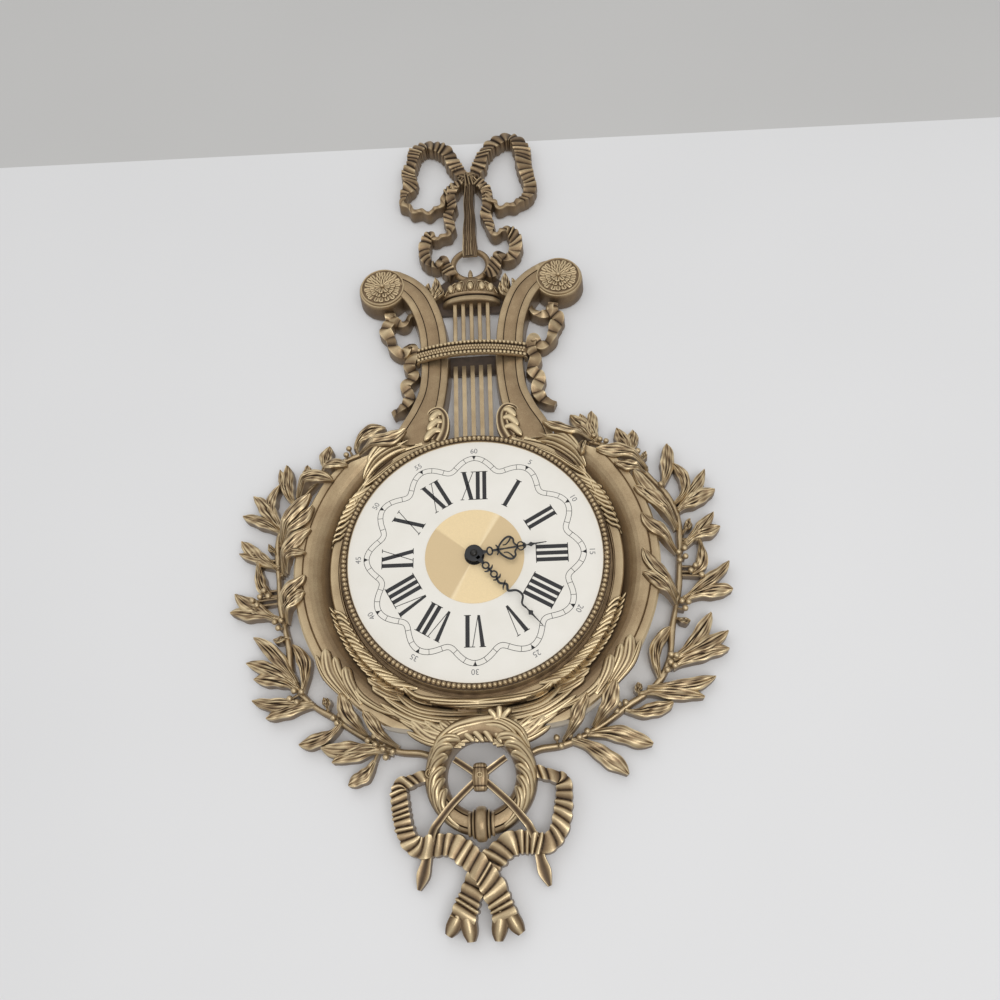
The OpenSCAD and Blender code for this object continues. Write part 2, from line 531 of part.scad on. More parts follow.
// Acanthus runs that lie on the band and on the border, each leaf over the foot of the next. Angles run from
// the top of the dial: [first, step, last, base radius, tip radius, turn, leaf width, seat].
acanthus_runs = [[97, 9, 169, band_r - 5, band_r + 2.5, -11, 11, band_h],
    [36, 9, 72, band_r - 6.5, band_r - 1.5, -11, 10, band_h],
    [118, 11, 162, border_r - 8, border_r + 2, -13, 14, border_h]];
lift = 0.05;
function polar(r, a) = [r * sin(a), r * cos(a)];
module acanthus(side, laurel_leaves) color(gold) upright() difference() {
    mirror([side < 0 ? 1 : 0, 0, 0]) for (run = acanthus_runs) for (a = [run[0] : run[1] : run[2]])
        leaf(polar(run[3], a), polar(run[4], a + run[5]), 2, run[6], [run[7] + lift, run[7] + lift],
            [run[7] + 3, run[7] + 3.5]);
    for (l = laurel_leaves) if (l[6] > 0) laurel_leaf(l);
    cylinder(r = drum_r + lift, h = dial_face + 2);
}

// Curled acanthus at the inner foot of each arm
arm_scroll_rows = [[36, 138, 6, 20, 20], [29, 137, 7, 22, 22], [25.5, 130, 8, 23, 22], [26, 121, 9, 23, 22],
    [29, 112, 10, 22, 22]];
module arm_scroll(side) color(gold) upright() mirror([side < 0 ? 1 : 0, 0, 0]) difference() {
    ribbon(arm_scroll_rows);
    arm_solid(1);
    translate([0, 0, -1]) body_prism(dial_face + 2);
}

// Pendant: wreath, knop, crossed stems and ribbon
// The wreath climbs over the case's edge at its top. Angles run from the top of the ring.
wreath_top = back + 2 * wreath_tube_r;
wreath_over = border_h + 6;
wreath_step = 7.5;
function climb(a) = let (t = max(0, min(1,
    (80 - abs(a)) / 32))) wreath_top + (wreath_over - wreath_top) * t * t * (3 - 2 * t);
knop_half = 9.5;
knop_r = 12.5;
module pendant_wreath() color(gold) upright() difference() {
    turns = [for (a = [-172.5 : wreath_step : 172.5]) a];
    relief_sweep([for (a = turns) [wreath_r * sin(a), wreath_y + wreath_r * cos(a)]],
        [for (a = turns) let (r = wreath_tube_r)
        [[r, back], [r, climb(a) - 5.5], [0.75 * r, climb(a) - 1.8], [0, climb(a)],
        [-0.75 * r, climb(a) - 1.8],
            [-r, climb(a) - 5.5], [-r, back]]]);
    translate([-knop_half, wreath_y - wreath_r - 2 * wreath_tube_r, 0]) cube([2 * knop_half, wreath_r, tall]);
    translate([0, 0, -1]) body_prism(rest_h + 1);
}
module pendant_knop() color(gold) upright() translate([-knop_half, wreath_y - wreath_r,
    back + knop_r]) rotate([0, 90, 0]) {
    collar = [[0, 0], [knop_r - 4, 0], [knop_r - 4, 2], [knop_r - 4.6, 2.8], [knop_r - 2, 3.6],
        [knop_r - 0.6, 5.2], [knop_r, 7.4]];
    rotate_extrude() polygon(concat(collar, flip([for (p = collar) [p[0], 2 * knop_half - p[1]]])));
}
stem_foot = wreath_top + seat_gap;
// Rows are [x, y, width, foot, top].
stem_rows = [[-19, -154.5, 4.2, stem_foot, stem_foot + 3], [-8, -162, 4.4, stem_foot, stem_foot + 3.4],
    [4, -171, 4.6, stem_foot, stem_foot + 3.4], [20, -185.5, 4.8, stem_foot, stem_foot + 3.4],
    [30, -197, 5.2, stem_foot, stem_foot + 3], [34.5, -203, 5.4, 4, stem_foot + 2], [39, -214, 6, back, 11],
    [41, -224, 7, back, 9], [43.5, -233, 9, back, 9], [46.5, -242, 3, back, 7]];
module hung() translate([0, wreath_y - drawn_wreath_y, 0]) children();
module stem_bar(rows) {
    path = smooth(rows, 2);
    relief_sweep(path, [for (p = path) let (w = p[2] / 2)
        [[w, p[3]], [w, p[4] - 1], [0, p[4]], [-w, p[4] - 1], [-w, p[3]]]]);
}
module stem_pair() {
    stem_bar(stem_rows);
    stem_bar(mirrored(stem_rows));
}
boss_r = 6.2;
boss_len = 20;
module crossed_stems() color(gold) upright() hung() {
    stem_pair();
    translate([0, drawn_wreath_y - 2 - boss_len / 2, stem_foot + 1.5]) rotate([-90, 0, 0]) rotate_extrude()
        polygon([[0, 0], [boss_r - 2, 0], [boss_r - 0.6, boss_len / 4], [boss_r, boss_len / 2],
            [boss_r - 0.6, boss_len * 3 / 4],
            [boss_r - 2, boss_len], [0, boss_len]]);
}
pendant_rows = [[-40, -164, 8, rh - 3, rh], [-53, -168, 8, rh, rh], [-60, -172, 10, rh, rh],
    [-60, -184, 12, rh - 2, rh], [-58, -196, 12, rh - 2, rh], [-54, -207, 12, rh, rh - 2],
    [-46, -214, 13, rh, rh - 2], [-34, -213, 14, rh, rh - 2], [-22, -213, 15, rh, rh - 2],
    [-11, -220, 16, rh, rh], [-2, -229, 16, rh, rh], [6, -240, 16, rh, rh], [11, -251, 16, rh, rh],
    [15, -262, 15, rh, rh], [19, -272, 14, rh - 3, rh - 3]];
module pendant_ribbon() color(gold) upright() hung() difference() {
    union() {
        ribbon(pendant_rows);
        ribbon(mirrored_ribbon(pendant_rows));
    }
    translate([0, drawn_wreath_y, 0]) cylinder(r = wreath_r + wreath_tube_r, h = tall);
    stem_pair();
}

// Bezel, dial and gilt disc
bead_r = dial_r + bezel_w / 2 - 0.2;
bead_count = floor(360 / (2 * asin((bead_d + 0.05) / 2 / bead_r)));
bezel_t = 1.2;
module bezel() color(gold) upright() {
    rotate_extrude() polygon([[dial_r - 0.4, dial_face], [bezel_r, dial_face],
        [bezel_r, dial_face + bezel_t - 0.4],
        [bezel_r - 0.4, dial_face + bezel_t], [dial_r + 0.2, dial_face + bezel_t],
        [dial_r - 0.4, dial_face + 0.6]]);
    for (i = [0 : bead_count - 1]) rotate(i * 360 / bead_count) translate([bead_r, 0,
        dial_face + bead_d / 2 + lift])
        sphere(r = bead_d / 2);
}
module dial_plate() color(cream) upright() difference() {
    translate([0, 0, seat_h]) cylinder(r = seat_r, h = dial_t);
    cylinder(r = bush_r + seat_gap, h = 2 * dial_face);
}
disc_face = dial_face + centre_disc_t;
module dial_centre() color(brass) upright() difference() {
    translate([0, 0, dial_face]) cylinder(r = centre_disc_r, h = centre_disc_t);
    cylinder(r = bush_r + seat_gap, h = 2 * dial_face);
}

// Hands, drawn pointing to twelve and turned to their place. Stroke rows are [x, y, width].
washer_t = 0.6;
nut_t = 2.2;
bush_top = disc_face + washer_t + nut_t + 0.6;
hour_h = bush_top + 0.5;
minute_h = hour_h + hand_t + 1;
hub_r = 7;
module stroke(rows, steps = 4) {
    path = smooth(rows, steps);
    edge = function (s) [for (i = [0 : len(path) - 1]) let (t = heading(path,
        i)) [path[i][0] - s * t[1] * path[i][2] / 2,
        path[i][1] + s * t[0] * path[i][2] / 2]];
    polygon(concat(edge(1), flip(edge(-1))));
}
module eyelet(y, r) difference() {
    translate([0, y]) circle(r = r);
    translate([0, y]) circle(r = r * 0.5);
}
module spear(y, half, tip) polygon([[-0.7, y - 6], [-half, y - 1], [-0.7, y + 3], [-0.35, tip],
    [0.35, tip], [0.7, y + 3],
    [half, y - 1], [0.7, y - 6]]);
spade_edge = [[1, 16, 0], [3.6, 19.5, 0], [8.2, 26, 0], [9.4, 30.5, 0], [6.4, 33, 0], [3, 34.5, 0],
    [1, 37, 0]];
spade_hole = [[1.2, 20.5, 0], [3.4, 22.5, 0], [6.6, 27.5, 0], [7.4, 30.2, 0], [4.6, 31.2, 0], [1.2, 32.6, 0]];
function flat(rows) = [for (r = rows) [r[0], r[1]]];
module hour_solid() {
    cylinder(r = hub_r - 0.5, h = hand_t);
    linear_extrude(hand_t) stroke([[0, 4, 4], [0, 9, 2.2]]);
    linear_extrude(hand_t) eyelet(11.8, 3);
    linear_extrude(hand_t) stroke([[0, 14, 2.4], [0, 17, 3]]);
    difference() {
        linear_extrude(hand_t) polygon(flat(concat(smooth(spade_edge, 3), flip(mirrored(smooth(spade_edge,
            3))))));
        for (s = [1, -1]) translate([0, 0, -1]) linear_extrude(hand_t + 2)
            polygon([for (p = smooth(spade_hole, 3)) [s * p[0], p[1]]]);
    }
    linear_extrude(hand_t) eyelet(38.5, 3.2);
    linear_extrude(hand_t) spear(46.5, 2, hour_len);
}
minute_curl = [[0, 20, 2.4], [1.6, 26, 2], [-1.3, 31, 2.2], [0.6, 36.5, 2], [-4.2, 43, 1.8],
    [-4.4, 50.5, 1.7], [0.4, 55.5, 1.5], [0, 62, 1.3]];
module minute_solid() {
    cylinder(r = hub_r, h = hand_t);
    linear_extrude(hand_t) stroke([[0, 4, 4], [0, 8.5, 2]]);
    linear_extrude(hand_t) eyelet(11, 3.2);
    linear_extrude(hand_t) eyelet(16.9, 2.9);
    linear_extrude(hand_t) stroke([[0, 19, 2.2], [0, 21, 2.4]]);
    linear_extrude(hand_t) stroke(minute_curl);
    linear_extrude(hand_t) spear(66, 2.2, minute_len);
}
module hour_hand() color(black_paint) upright() difference() {
    translate([0, 0, hour_h]) rotate(-hour_angle) hour_solid();
    translate([0, 0, hour_h - 1]) cylinder(r = hour_tube_r + press_gap, h = hand_t + 2);
}
module minute_hand() color(black_paint) upright() difference() {
    translate([0, 0, minute_h]) rotate(-minute_angle) minute_solid();
    translate([0, 0, minute_h - 1]) cylinder(r = minute_tube_r + press_gap, h = hand_t + 2);
}
press_gap = 0.02;
cap_t = 2.4;
tube_end = minute_h + hand_t + 1.2;
module hand_nut() color(brass) upright() difference() {
    translate([0, 0, minute_h + hand_t]) rotate_extrude() polygon([[0, 0], [2.8, 0], [2.8, 0.8],
        [2.2, cap_t - 0.6], [1.2, cap_t], [0, cap_t]]);
    translate([0, 0, minute_h]) cylinder(r = minute_tube_r + press_gap, h = tube_end - minute_h + seat_gap);
}
module hex_nut() color(brass) upright() translate([0, 0, disc_face + washer_t]) difference() {
    cylinder(r = 6.9, h = nut_t, $fn = 6);
    translate([0, 0, -1]) cylinder(r = bush_r + run_fit, h = nut_t + 2);
}
module nut_washer() color(brass) upright() translate([0, 0, disc_face]) difference() {
    cylinder(r = 8, h = washer_t);
    translate([0, 0, -1]) cylinder(r = bush_r + run_fit, h = washer_t + 2);
}
module gasket() color(rubber_black) upright() translate([0, 0, floor_h - gasket_t]) difference() {
    cylinder(r = 12, h = gasket_t);
    translate([0, 0, -1]) cylinder(r = bush_r + run_fit, h = gasket_t + 2);
}

// Movement: shells, cell and contacts
front_h = floor_h - gasket_t;
back_h = front_h - case_depth;
half = case_side / 2;
shell_t = 1.3;
face_t = 1;
split_h = back_h + 4;
inner_h = front_h - face_t;
bay_w = cell_d + 2 * seat_gap;
bay_top = -half + shell_t + bay_w;
rib_t = 1;
cell_y = -half + shell_t + bay_w / 2;
cell_h = inner_h - seat_gap - cell_d / 2;
// Wheels: teeth, module and the height of each one's lower face
tooth_m = 0.35;
cannon_teeth = 10;
motion_teeth = 30;
motion_pinion_teeth = 8;
hour_teeth = 32;
knob_teeth = 20;
centre_teeth = 60;
third_pinion_teeth = 8;
third_teeth = 64;
seconds_pinion_teeth = 8;
seconds_teeth = 60;
between_pinion_teeth = 10;
between_teeth = 50;
rotor_teeth = 10;
centre_m = 0.36;
third_m = centre_m * (centre_teeth + third_pinion_teeth) / (third_teeth + seconds_pinion_teeth);
seconds_m = 0.3;
between_m = 0.28;
wheel_t = 0.8;
hour_layer = inner_h - 1.8;
motion_layer = hour_layer - 1.6;
centre_layer = motion_layer - 1.6;
third_layer = centre_layer - 1.6;
seconds_layer = third_layer - 1.6;
post_r = 0.7;
motion_dir = 200;
knob_dir = 205;
third_dir = 150;
between_dir = 30;
rotor_dir = 60;
function spaced(m, a, b) = m * (a + b) / 2;
function toward(from, dist, dir) = from + dist * [cos(dir), sin(dir)];
axis = [0, 0];
motion_at = toward(axis, spaced(tooth_m, cannon_teeth, motion_teeth), motion_dir);
knob_at = toward(motion_at, spaced(tooth_m, motion_teeth, knob_teeth), knob_dir);
third_at = toward(axis, spaced(centre_m, centre_teeth, third_pinion_teeth), third_dir);
between_at = toward(axis, spaced(seconds_m, seconds_teeth, between_pinion_teeth), between_dir);
rotor_at = toward(between_at, spaced(between_m, between_teeth, rotor_teeth), rotor_dir);
// Turn that sets gear b's teeth in the gaps of gear a, which lies turned by phase, with b in direction dir
function meshed(dir, phase, a, b) = dir + 180 - 180 / b + (dir - phase) * a / b;
motion_phase = meshed(motion_dir, 0, cannon_teeth, motion_teeth);
knob_phase = meshed(knob_dir, motion_phase, motion_teeth, knob_teeth);
hour_phase = meshed(motion_dir + 180, 0, motion_pinion_teeth, hour_teeth);
third_pinion_phase = meshed(third_dir, 0, centre_teeth, third_pinion_teeth);
seconds_pinion_phase = meshed(third_dir + 180, 0, third_teeth, seconds_pinion_teeth);
between_pinion_phase = meshed(between_dir, 0, seconds_teeth, between_pinion_teeth);
rotor_phase = meshed(rotor_dir, 0, between_teeth, rotor_teeth);
// Half a tooth's width at its root and at its tip, as a share of the pitch
root_share = 0.255;
tip_share = 0.1;
function gear_root(teeth, m) = m * (teeth / 2 - 0.95);
module gear(teeth, m, thick, phase = 0) {
    root = gear_root(teeth, m);
    tip = m * teeth / 2 + 0.6 * m;
    pitch = 360 / teeth;
    tooth = [[root, -root_share], [tip, -tip_share], [tip, tip_share], [root, root_share]];
    linear_extrude(thick) polygon([for (i = [0 : teeth - 1]) for (k = tooth)
        let (a = phase + (i + k[1]) * pitch) k[0] * [cos(a), sin(a)]]);
}
module at(place, h) translate([place[0], place[1], h]) children();
module bored(r) difference() {
    children();
    translate([0, 0, -50]) cylinder(r = r + run_fit, h = 100);
}

module movement_front() color(dark_plastic) upright() difference() {
    union() {
        difference() {
            union() {
                translate([-half, -half, split_h]) cube([case_side, case_side, front_h - split_h]);
                translate([-half, -half, back_h]) cube([case_side, bay_top + rib_t + half, split_h - back_h]);
            }
            translate([-half + shell_t, -half + shell_t, back_h - 1]) cube([case_side - 2 * shell_t, bay_w,
                inner_h - back_h + 1]);
            translate([-half + shell_t, bay_top + rib_t, back_h - 1])
                cube([case_side - 2 * shell_t, half - shell_t - bay_top - rib_t, inner_h - back_h + 1]);
        }
        translate([0, 0, inner_h]) cylinder(r = bush_r, h = bush_top - inner_h);
        at(motion_at, motion_layer - 0.2) cylinder(r = post_r, h = inner_h - motion_layer + 0.7);
        at(knob_at, motion_layer + 0.4) cylinder(r = post_r, h = inner_h - motion_layer);
        for (p = board_posts) at(p, board_h + board_t) cylinder(r = 1, h = inner_h - board_h - board_t + 0.5);
    }
    translate([0, 0, back_h]) cylinder(r = hour_tube_r + run_fit, h = 2 * dial_face);
}
lid_low = bay_top + rib_t + seat_gap;
module movement_back() color(dark_plastic) upright() {
    difference() {
        translate([-half, lid_low, back_h]) cube([case_side, half - lid_low, split_h - back_h]);
        translate([-half + shell_t, lid_low + shell_t, back_h + 1.2])
            cube([case_side - 2 * shell_t, half - lid_low - 2 * shell_t, split_h - back_h]);
        at(knob_at, back_h - 1) cylinder(r = knob_shaft_r + run_fit, h = 4);
    }
    at(third_at, back_h + 1) cylinder(r = post_r, h = centre_layer - back_h + 0.2);
    at(between_at, back_h + 1) cylinder(r = post_r, h = third_layer - back_h - 0.2);
    at(axis, back_h + 1) cylinder(r = post_r, h = third_layer - back_h - 0.2);
    at(rotor_at, back_h + 1) cylinder(r = post_r, h = centre_layer - back_h + 1.6);
}
nub_len = 1;
module battery() color(steel) upright() translate([-cell_len / 2, cell_y, cell_h])
    rotate([0, 90, 0]) rotate_extrude()
    polygon([[0, 0], [cell_d / 2 - 0.6, 0], [cell_d / 2, 0.6], [cell_d / 2, cell_len - 0.8],
        [cell_d / 2 - 0.8, cell_len],
        [2.6, cell_len], [2.6, cell_len + nub_len], [0, cell_len + nub_len]]);
contact_t = 0.4;
contact_w = 8;
module contact(side, gap) translate([side * (half - shell_t), cell_y, cell_h])
    mirror([side > 0 ? 1 : 0, 0, 0])
    translate([0, contact_w / 2, 0]) rotate([90, 0, 0]) linear_extrude(contact_w)
        polygon([[0, -6], [contact_t, -6], [contact_t, 3], [gap, 0.5], [gap, -2], [gap + 0.01, 1],
            [contact_t, 5.5], [0, 5.5]]);
module contact_plus() color(brass) upright() contact(1, half - shell_t - cell_len / 2 - nub_len - press_gap);
module contact_minus() color(brass) upright() contact(-1, half - shell_t - cell_len / 2 - press_gap);

// Movement: motor, board and wheels
coil_at = [12.5, 21.5];
coil_len = 17;
stator_t = 0.8;
stator_h = centre_layer + 0.6;
magnet_r = 3.2;
module coil() color(copper) upright() translate([coil_at[0] - coil_len / 2, coil_at[1],
    stator_h + stator_t / 2]) rotate([0, 90, 0])
    difference() {
        rotate_extrude() polygon([[0, 0], [3.7, 0], [3.7, 1], [3.2, 1], [3.2, coil_len - 1],
            [3.7, coil_len - 1], [3.7, coil_len], [0, coil_len]]);
        translate([0, 0, -1]) cylinder(r = 1.3, h = coil_len + 2);
    }
module stator() color(steel) upright() translate([0, 0, stator_h]) linear_extrude(stator_t) difference() {
    union() {
        translate([rotor_at[0] - 4.8, rotor_at[1] - 4.2]) square([11, 8.4]);
        translate([1, rotor_at[1] + 1.8]) square([12, 2.4]);
        translate([1, rotor_at[1] + 1.8]) square([2, coil_at[1] - rotor_at[1]]);
        translate([rotor_at[0] + 4.8, rotor_at[1] + 1.8]) square([24 - rotor_at[0] - 4.8, 2.4]);
        translate([22, rotor_at[1] + 1.8]) square([2, coil_at[1] - rotor_at[1]]);
        translate([1, coil_at[1] - 1]) square([23, 2]);
    }
    translate(rotor_at) circle(r = magnet_r + 0.4);
}
module rotor() color(steel) upright() at(rotor_at, 0) bored(post_r) {
    translate([0, 0, third_layer - 0.2]) gear(rotor_teeth, between_m, 1.6, rotor_phase);
    translate([0, 0, third_layer + 1.4]) cylinder(r = magnet_r, h = 2.4);
}
module intermediate_wheel() color(nylon) upright() at(between_at, 0) bored(post_r) {
    translate([0, 0, third_layer]) gear(between_teeth, between_m, wheel_t);
    translate([0, 0, seconds_layer - 0.2]) gear(between_pinion_teeth, seconds_m,
        third_layer - seconds_layer + 0.2, between_pinion_phase);
}
module seconds_wheel() color(nylon) upright() bored(post_r) {
    translate([0, 0, seconds_layer]) gear(seconds_teeth, seconds_m, wheel_t);
    translate([0, 0, seconds_layer + wheel_t]) cylinder(r = 1.1, h = third_layer - seconds_layer - wheel_t);
    translate([0, 0, third_layer - 0.2]) gear(seconds_pinion_teeth, third_m, wheel_t + 0.3,
        seconds_pinion_phase);
}
module third_wheel() color(nylon) upright() at(third_at, 0) bored(post_r) {
    translate([0, 0, third_layer]) gear(third_teeth, third_m, wheel_t);
    translate([0, 0, third_layer + wheel_t]) gear(third_pinion_teeth, centre_m,
        centre_layer - third_layer + 0.2, third_pinion_phase);
}
module centre_wheel() color(nylon) upright() bored(minute_tube_r)
    translate([0, 0, centre_layer]) gear(centre_teeth, centre_m, wheel_t);
cannon_flange = 0.5;
module cannon_tube() color(brass) upright() {
    shoulder = motion_layer - 0.1;
    pinion_top = motion_layer + wheel_t + 0.2;
    translate([0, 0, centre_layer - cannon_flange - 0.05]) cylinder(r = minute_tube_r + 0.6,
        h = cannon_flange);
    translate([0, 0, centre_layer - 0.3]) cylinder(r = minute_tube_r, h = shoulder - centre_layer + 0.3);
    translate([0, 0, centre_layer + wheel_t + 0.1])
        cylinder(r = minute_tube_r + 0.05, h = shoulder - centre_layer - wheel_t - 0.1);
    translate([0, 0, centre_layer])
        cylinder(r = gear_root(cannon_teeth, tooth_m) - 0.02, h = tube_end - centre_layer);
    translate([0, 0, shoulder]) gear(cannon_teeth, tooth_m, pinion_top - shoulder);
    translate([0, 0, pinion_top]) cylinder(r = minute_tube_r, h = tube_end - pinion_top);
}
module motion_wheel() color(nylon) upright() at(motion_at, 0) bored(post_r) {
    translate([0, 0, motion_layer]) gear(motion_teeth, tooth_m, wheel_t, motion_phase);
    translate([0, 0, motion_layer + wheel_t]) gear(motion_pinion_teeth, tooth_m,
        hour_layer - motion_layer + 0.2);
}
module hour_wheel() color(nylon) upright() bored(minute_tube_r) {
    translate([0, 0, hour_layer]) gear(hour_teeth, tooth_m, wheel_t, hour_phase);
    translate([0, 0, hour_layer + wheel_t / 2]) cylinder(r = hour_tube_r,
        h = hour_h + hand_t + 0.4 - hour_layer - wheel_t / 2);
}
board_t = 0.8;
board_h = inner_h - 2.4;
board_low = [9.5, -10.4];
board_size = [16.6, 8];
board_posts = [board_low + [1.8, 4], board_low + board_size - [1.8, 4]];
module circuit_board() color(green_board) upright() {
    translate([board_low[0], board_low[1], board_h]) cube([board_size[0], board_size[1], board_t]);
    translate([board_low[0] + 8, board_low[1] + 2, board_h - 0.9]) rotate([0, 90, 0]) cylinder(r = 1, h = 6);
    translate([board_low[0] + 9, board_low[1] + 4, board_h - 0.6]) cube([4, 3, 0.6]);
}
knob_shaft_r = 1.1;
knob_r = 6;
knob_t = 3.4;
knob_gap = 0.4;
knob_grooves = 20;
module setting_knob() color(dark_plastic) upright() at(knob_at, 0) difference() {
    union() {
        translate([0, 0, back_h - knob_gap - knob_t]) linear_extrude(knob_t)
            polygon([for (i = [0 : 6 * knob_grooves - 1])
            let (a = i * 60 / knob_grooves) (knob_r + 0.2 * cos(a * knob_grooves)) * [cos(a), sin(a)]]);
        translate([0, 0, back_h - knob_gap - 1]) cylinder(r = knob_shaft_r,
            h = motion_layer - back_h + knob_gap + 1.2);
        translate([0, 0, motion_layer]) gear(knob_teeth, tooth_m, wheel_t, knob_phase);
    }
    translate([0, 0, motion_layer - 1]) cylinder(r = post_r + run_fit, h = 5);
}

// Hanger: a keyhole plate held by two countersunk screws
hanger_w = 44;
hanger_len = 32;
head_r = 2.8;
module keyhole(r, slot_w, slot_len, h) {
    cylinder(r = r, h = h);
    translate([-slot_w / 2, 0, 0]) cube([slot_w, slot_len, h]);
    translate([0, slot_len, 0]) cylinder(r = slot_w / 2, h = h);
}
module hanger_plate() color(steel) upright() translate([0, hang_y, 0]) difference() {
    translate([-hanger_w / 2, -hanger_len / 2 + 2, 0]) cube([hanger_w, hanger_len, hanger_t]);
    translate([0, 0, -1]) keyhole(key_r, key_slot_w, key_slot_len, hanger_t + 2);
    for (s = [-1, 1]) translate([s * screw_x, 0, 0]) {
        translate([0, 0, -1]) cylinder(r = screw_r + run_fit, h = hanger_t + 2);
        screw_head(run_fit);
    }
}
module screw_head(fit) translate([0, 0, -lift]) cylinder(r1 = head_r + fit, r2 = screw_r + fit,
    h = hanger_t - lift);
module hanger_screws() color(steel) upright() for (s = [-1, 1]) translate([s * screw_x, hang_y,
    0]) difference() {
    union() {
        screw_head(0);
        translate([0, 0, hanger_t / 2]) cylinder(r = screw_r, h = plate_front - hanger_t / 2);
    }
    translate([0, 0, -1]) cylinder(r = head_r + 1, h = 1 + lift);
}

case_body();
lyre_arm(-1);  // lyre_arm_left
lyre_arm(1);  // lyre_arm_right
rosette(-1);  // rosette_left
rosette(1);  // rosette_right
crown_plate();
crown_cap();
crown_bud();
string_bridge();
strings_upper();
strings_lower();
crossband();
hanging_ring();
bow_loop(bow_left_rows);  // bow_loop_left
bow_loop(bow_right_rows);  // bow_loop_right
bow_knot();
bow_drape();
side_ribbon(side_left_rows, bow_left_rows);  // side_ribbon_left
side_ribbon(side_right_rows, bow_right_rows);  // side_ribbon_right
ribbon_swag(-1);  // ribbon_swag_left
ribbon_swag(1);  // ribbon_swag_right
laurel(-1, laurel_left_leaves, laurel_left_berries);  // laurel_left
laurel(1, laurel_right_leaves, laurel_right_berries);  // laurel_right
acanthus(-1, laurel_left_leaves);  // acanthus_left
acanthus(1, laurel_right_leaves);  // acanthus_right
arm_scroll(-1);  // arm_scroll_left
arm_scroll(1);  // arm_scroll_right
pendant_wreath();
pendant_knop();
crossed_stems();
pendant_ribbon();
bezel();
dial_plate();
dial_centre();
hour_hand();
minute_hand();
hand_nut();
hex_nut();
nut_washer();
gasket();
movement_front();
movement_back();
battery();
contact_plus();
contact_minus();
coil();
stator();
rotor();
intermediate_wheel();
seconds_wheel();
third_wheel();
centre_wheel();
cannon_tube();
motion_wheel();
hour_wheel();
circuit_board();
setting_knob();
hanger_plate();
hanger_screws();
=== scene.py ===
import math

import bmesh
import bpy
from mathutils import Matrix, Vector


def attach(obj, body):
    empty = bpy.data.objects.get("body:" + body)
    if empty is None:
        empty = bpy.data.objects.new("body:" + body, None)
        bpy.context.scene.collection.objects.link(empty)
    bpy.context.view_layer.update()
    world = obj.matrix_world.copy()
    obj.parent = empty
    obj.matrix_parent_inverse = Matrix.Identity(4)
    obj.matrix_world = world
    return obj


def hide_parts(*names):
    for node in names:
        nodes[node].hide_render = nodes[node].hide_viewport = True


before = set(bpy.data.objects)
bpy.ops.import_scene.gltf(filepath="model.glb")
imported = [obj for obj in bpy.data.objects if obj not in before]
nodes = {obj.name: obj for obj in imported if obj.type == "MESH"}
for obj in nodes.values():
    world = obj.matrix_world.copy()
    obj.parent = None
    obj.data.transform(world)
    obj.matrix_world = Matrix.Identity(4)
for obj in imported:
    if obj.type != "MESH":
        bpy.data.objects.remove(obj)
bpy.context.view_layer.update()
hangHeight = 268.0  # the keyhole above the dial's centre, in mm
wallGap = 0.8  # backs of the ornaments above the wall
print("frame loaded:", len(nodes), "nodes")


# shader kit
class Wire:
    def __init__(self, finish, socket):
        self.finish = finish
        self.socket = socket

    def calc(self, operation, a, b):
        return self.finish.node("ShaderNodeMath", {"operation": operation}, {0: a, 1: b})

    def __add__(self, other):
        return self.calc("ADD", self, other)

    def __radd__(self, other):
        return self.calc("ADD", other, self)

    def __sub__(self, other):
        return self.calc("SUBTRACT", self, other)

    def __rsub__(self, other):
        return self.calc("SUBTRACT", other, self)

    def __mul__(self, other):
        return self.calc("MULTIPLY", self, other)

    def __rmul__(self, other):
        return self.calc("MULTIPLY", other, self)

    def __pow__(self, other):
        return self.calc("POWER", self, other)

    def spread(self, low, high, toLow=0.0, toHigh=1.0):  # maps low..high to toLow..toHigh, clamped
        return self.finish.node("ShaderNodeMapRange", {"clamp": True}, {0: self, 1: low, 2: high, 3: toLow, 4: toHigh})


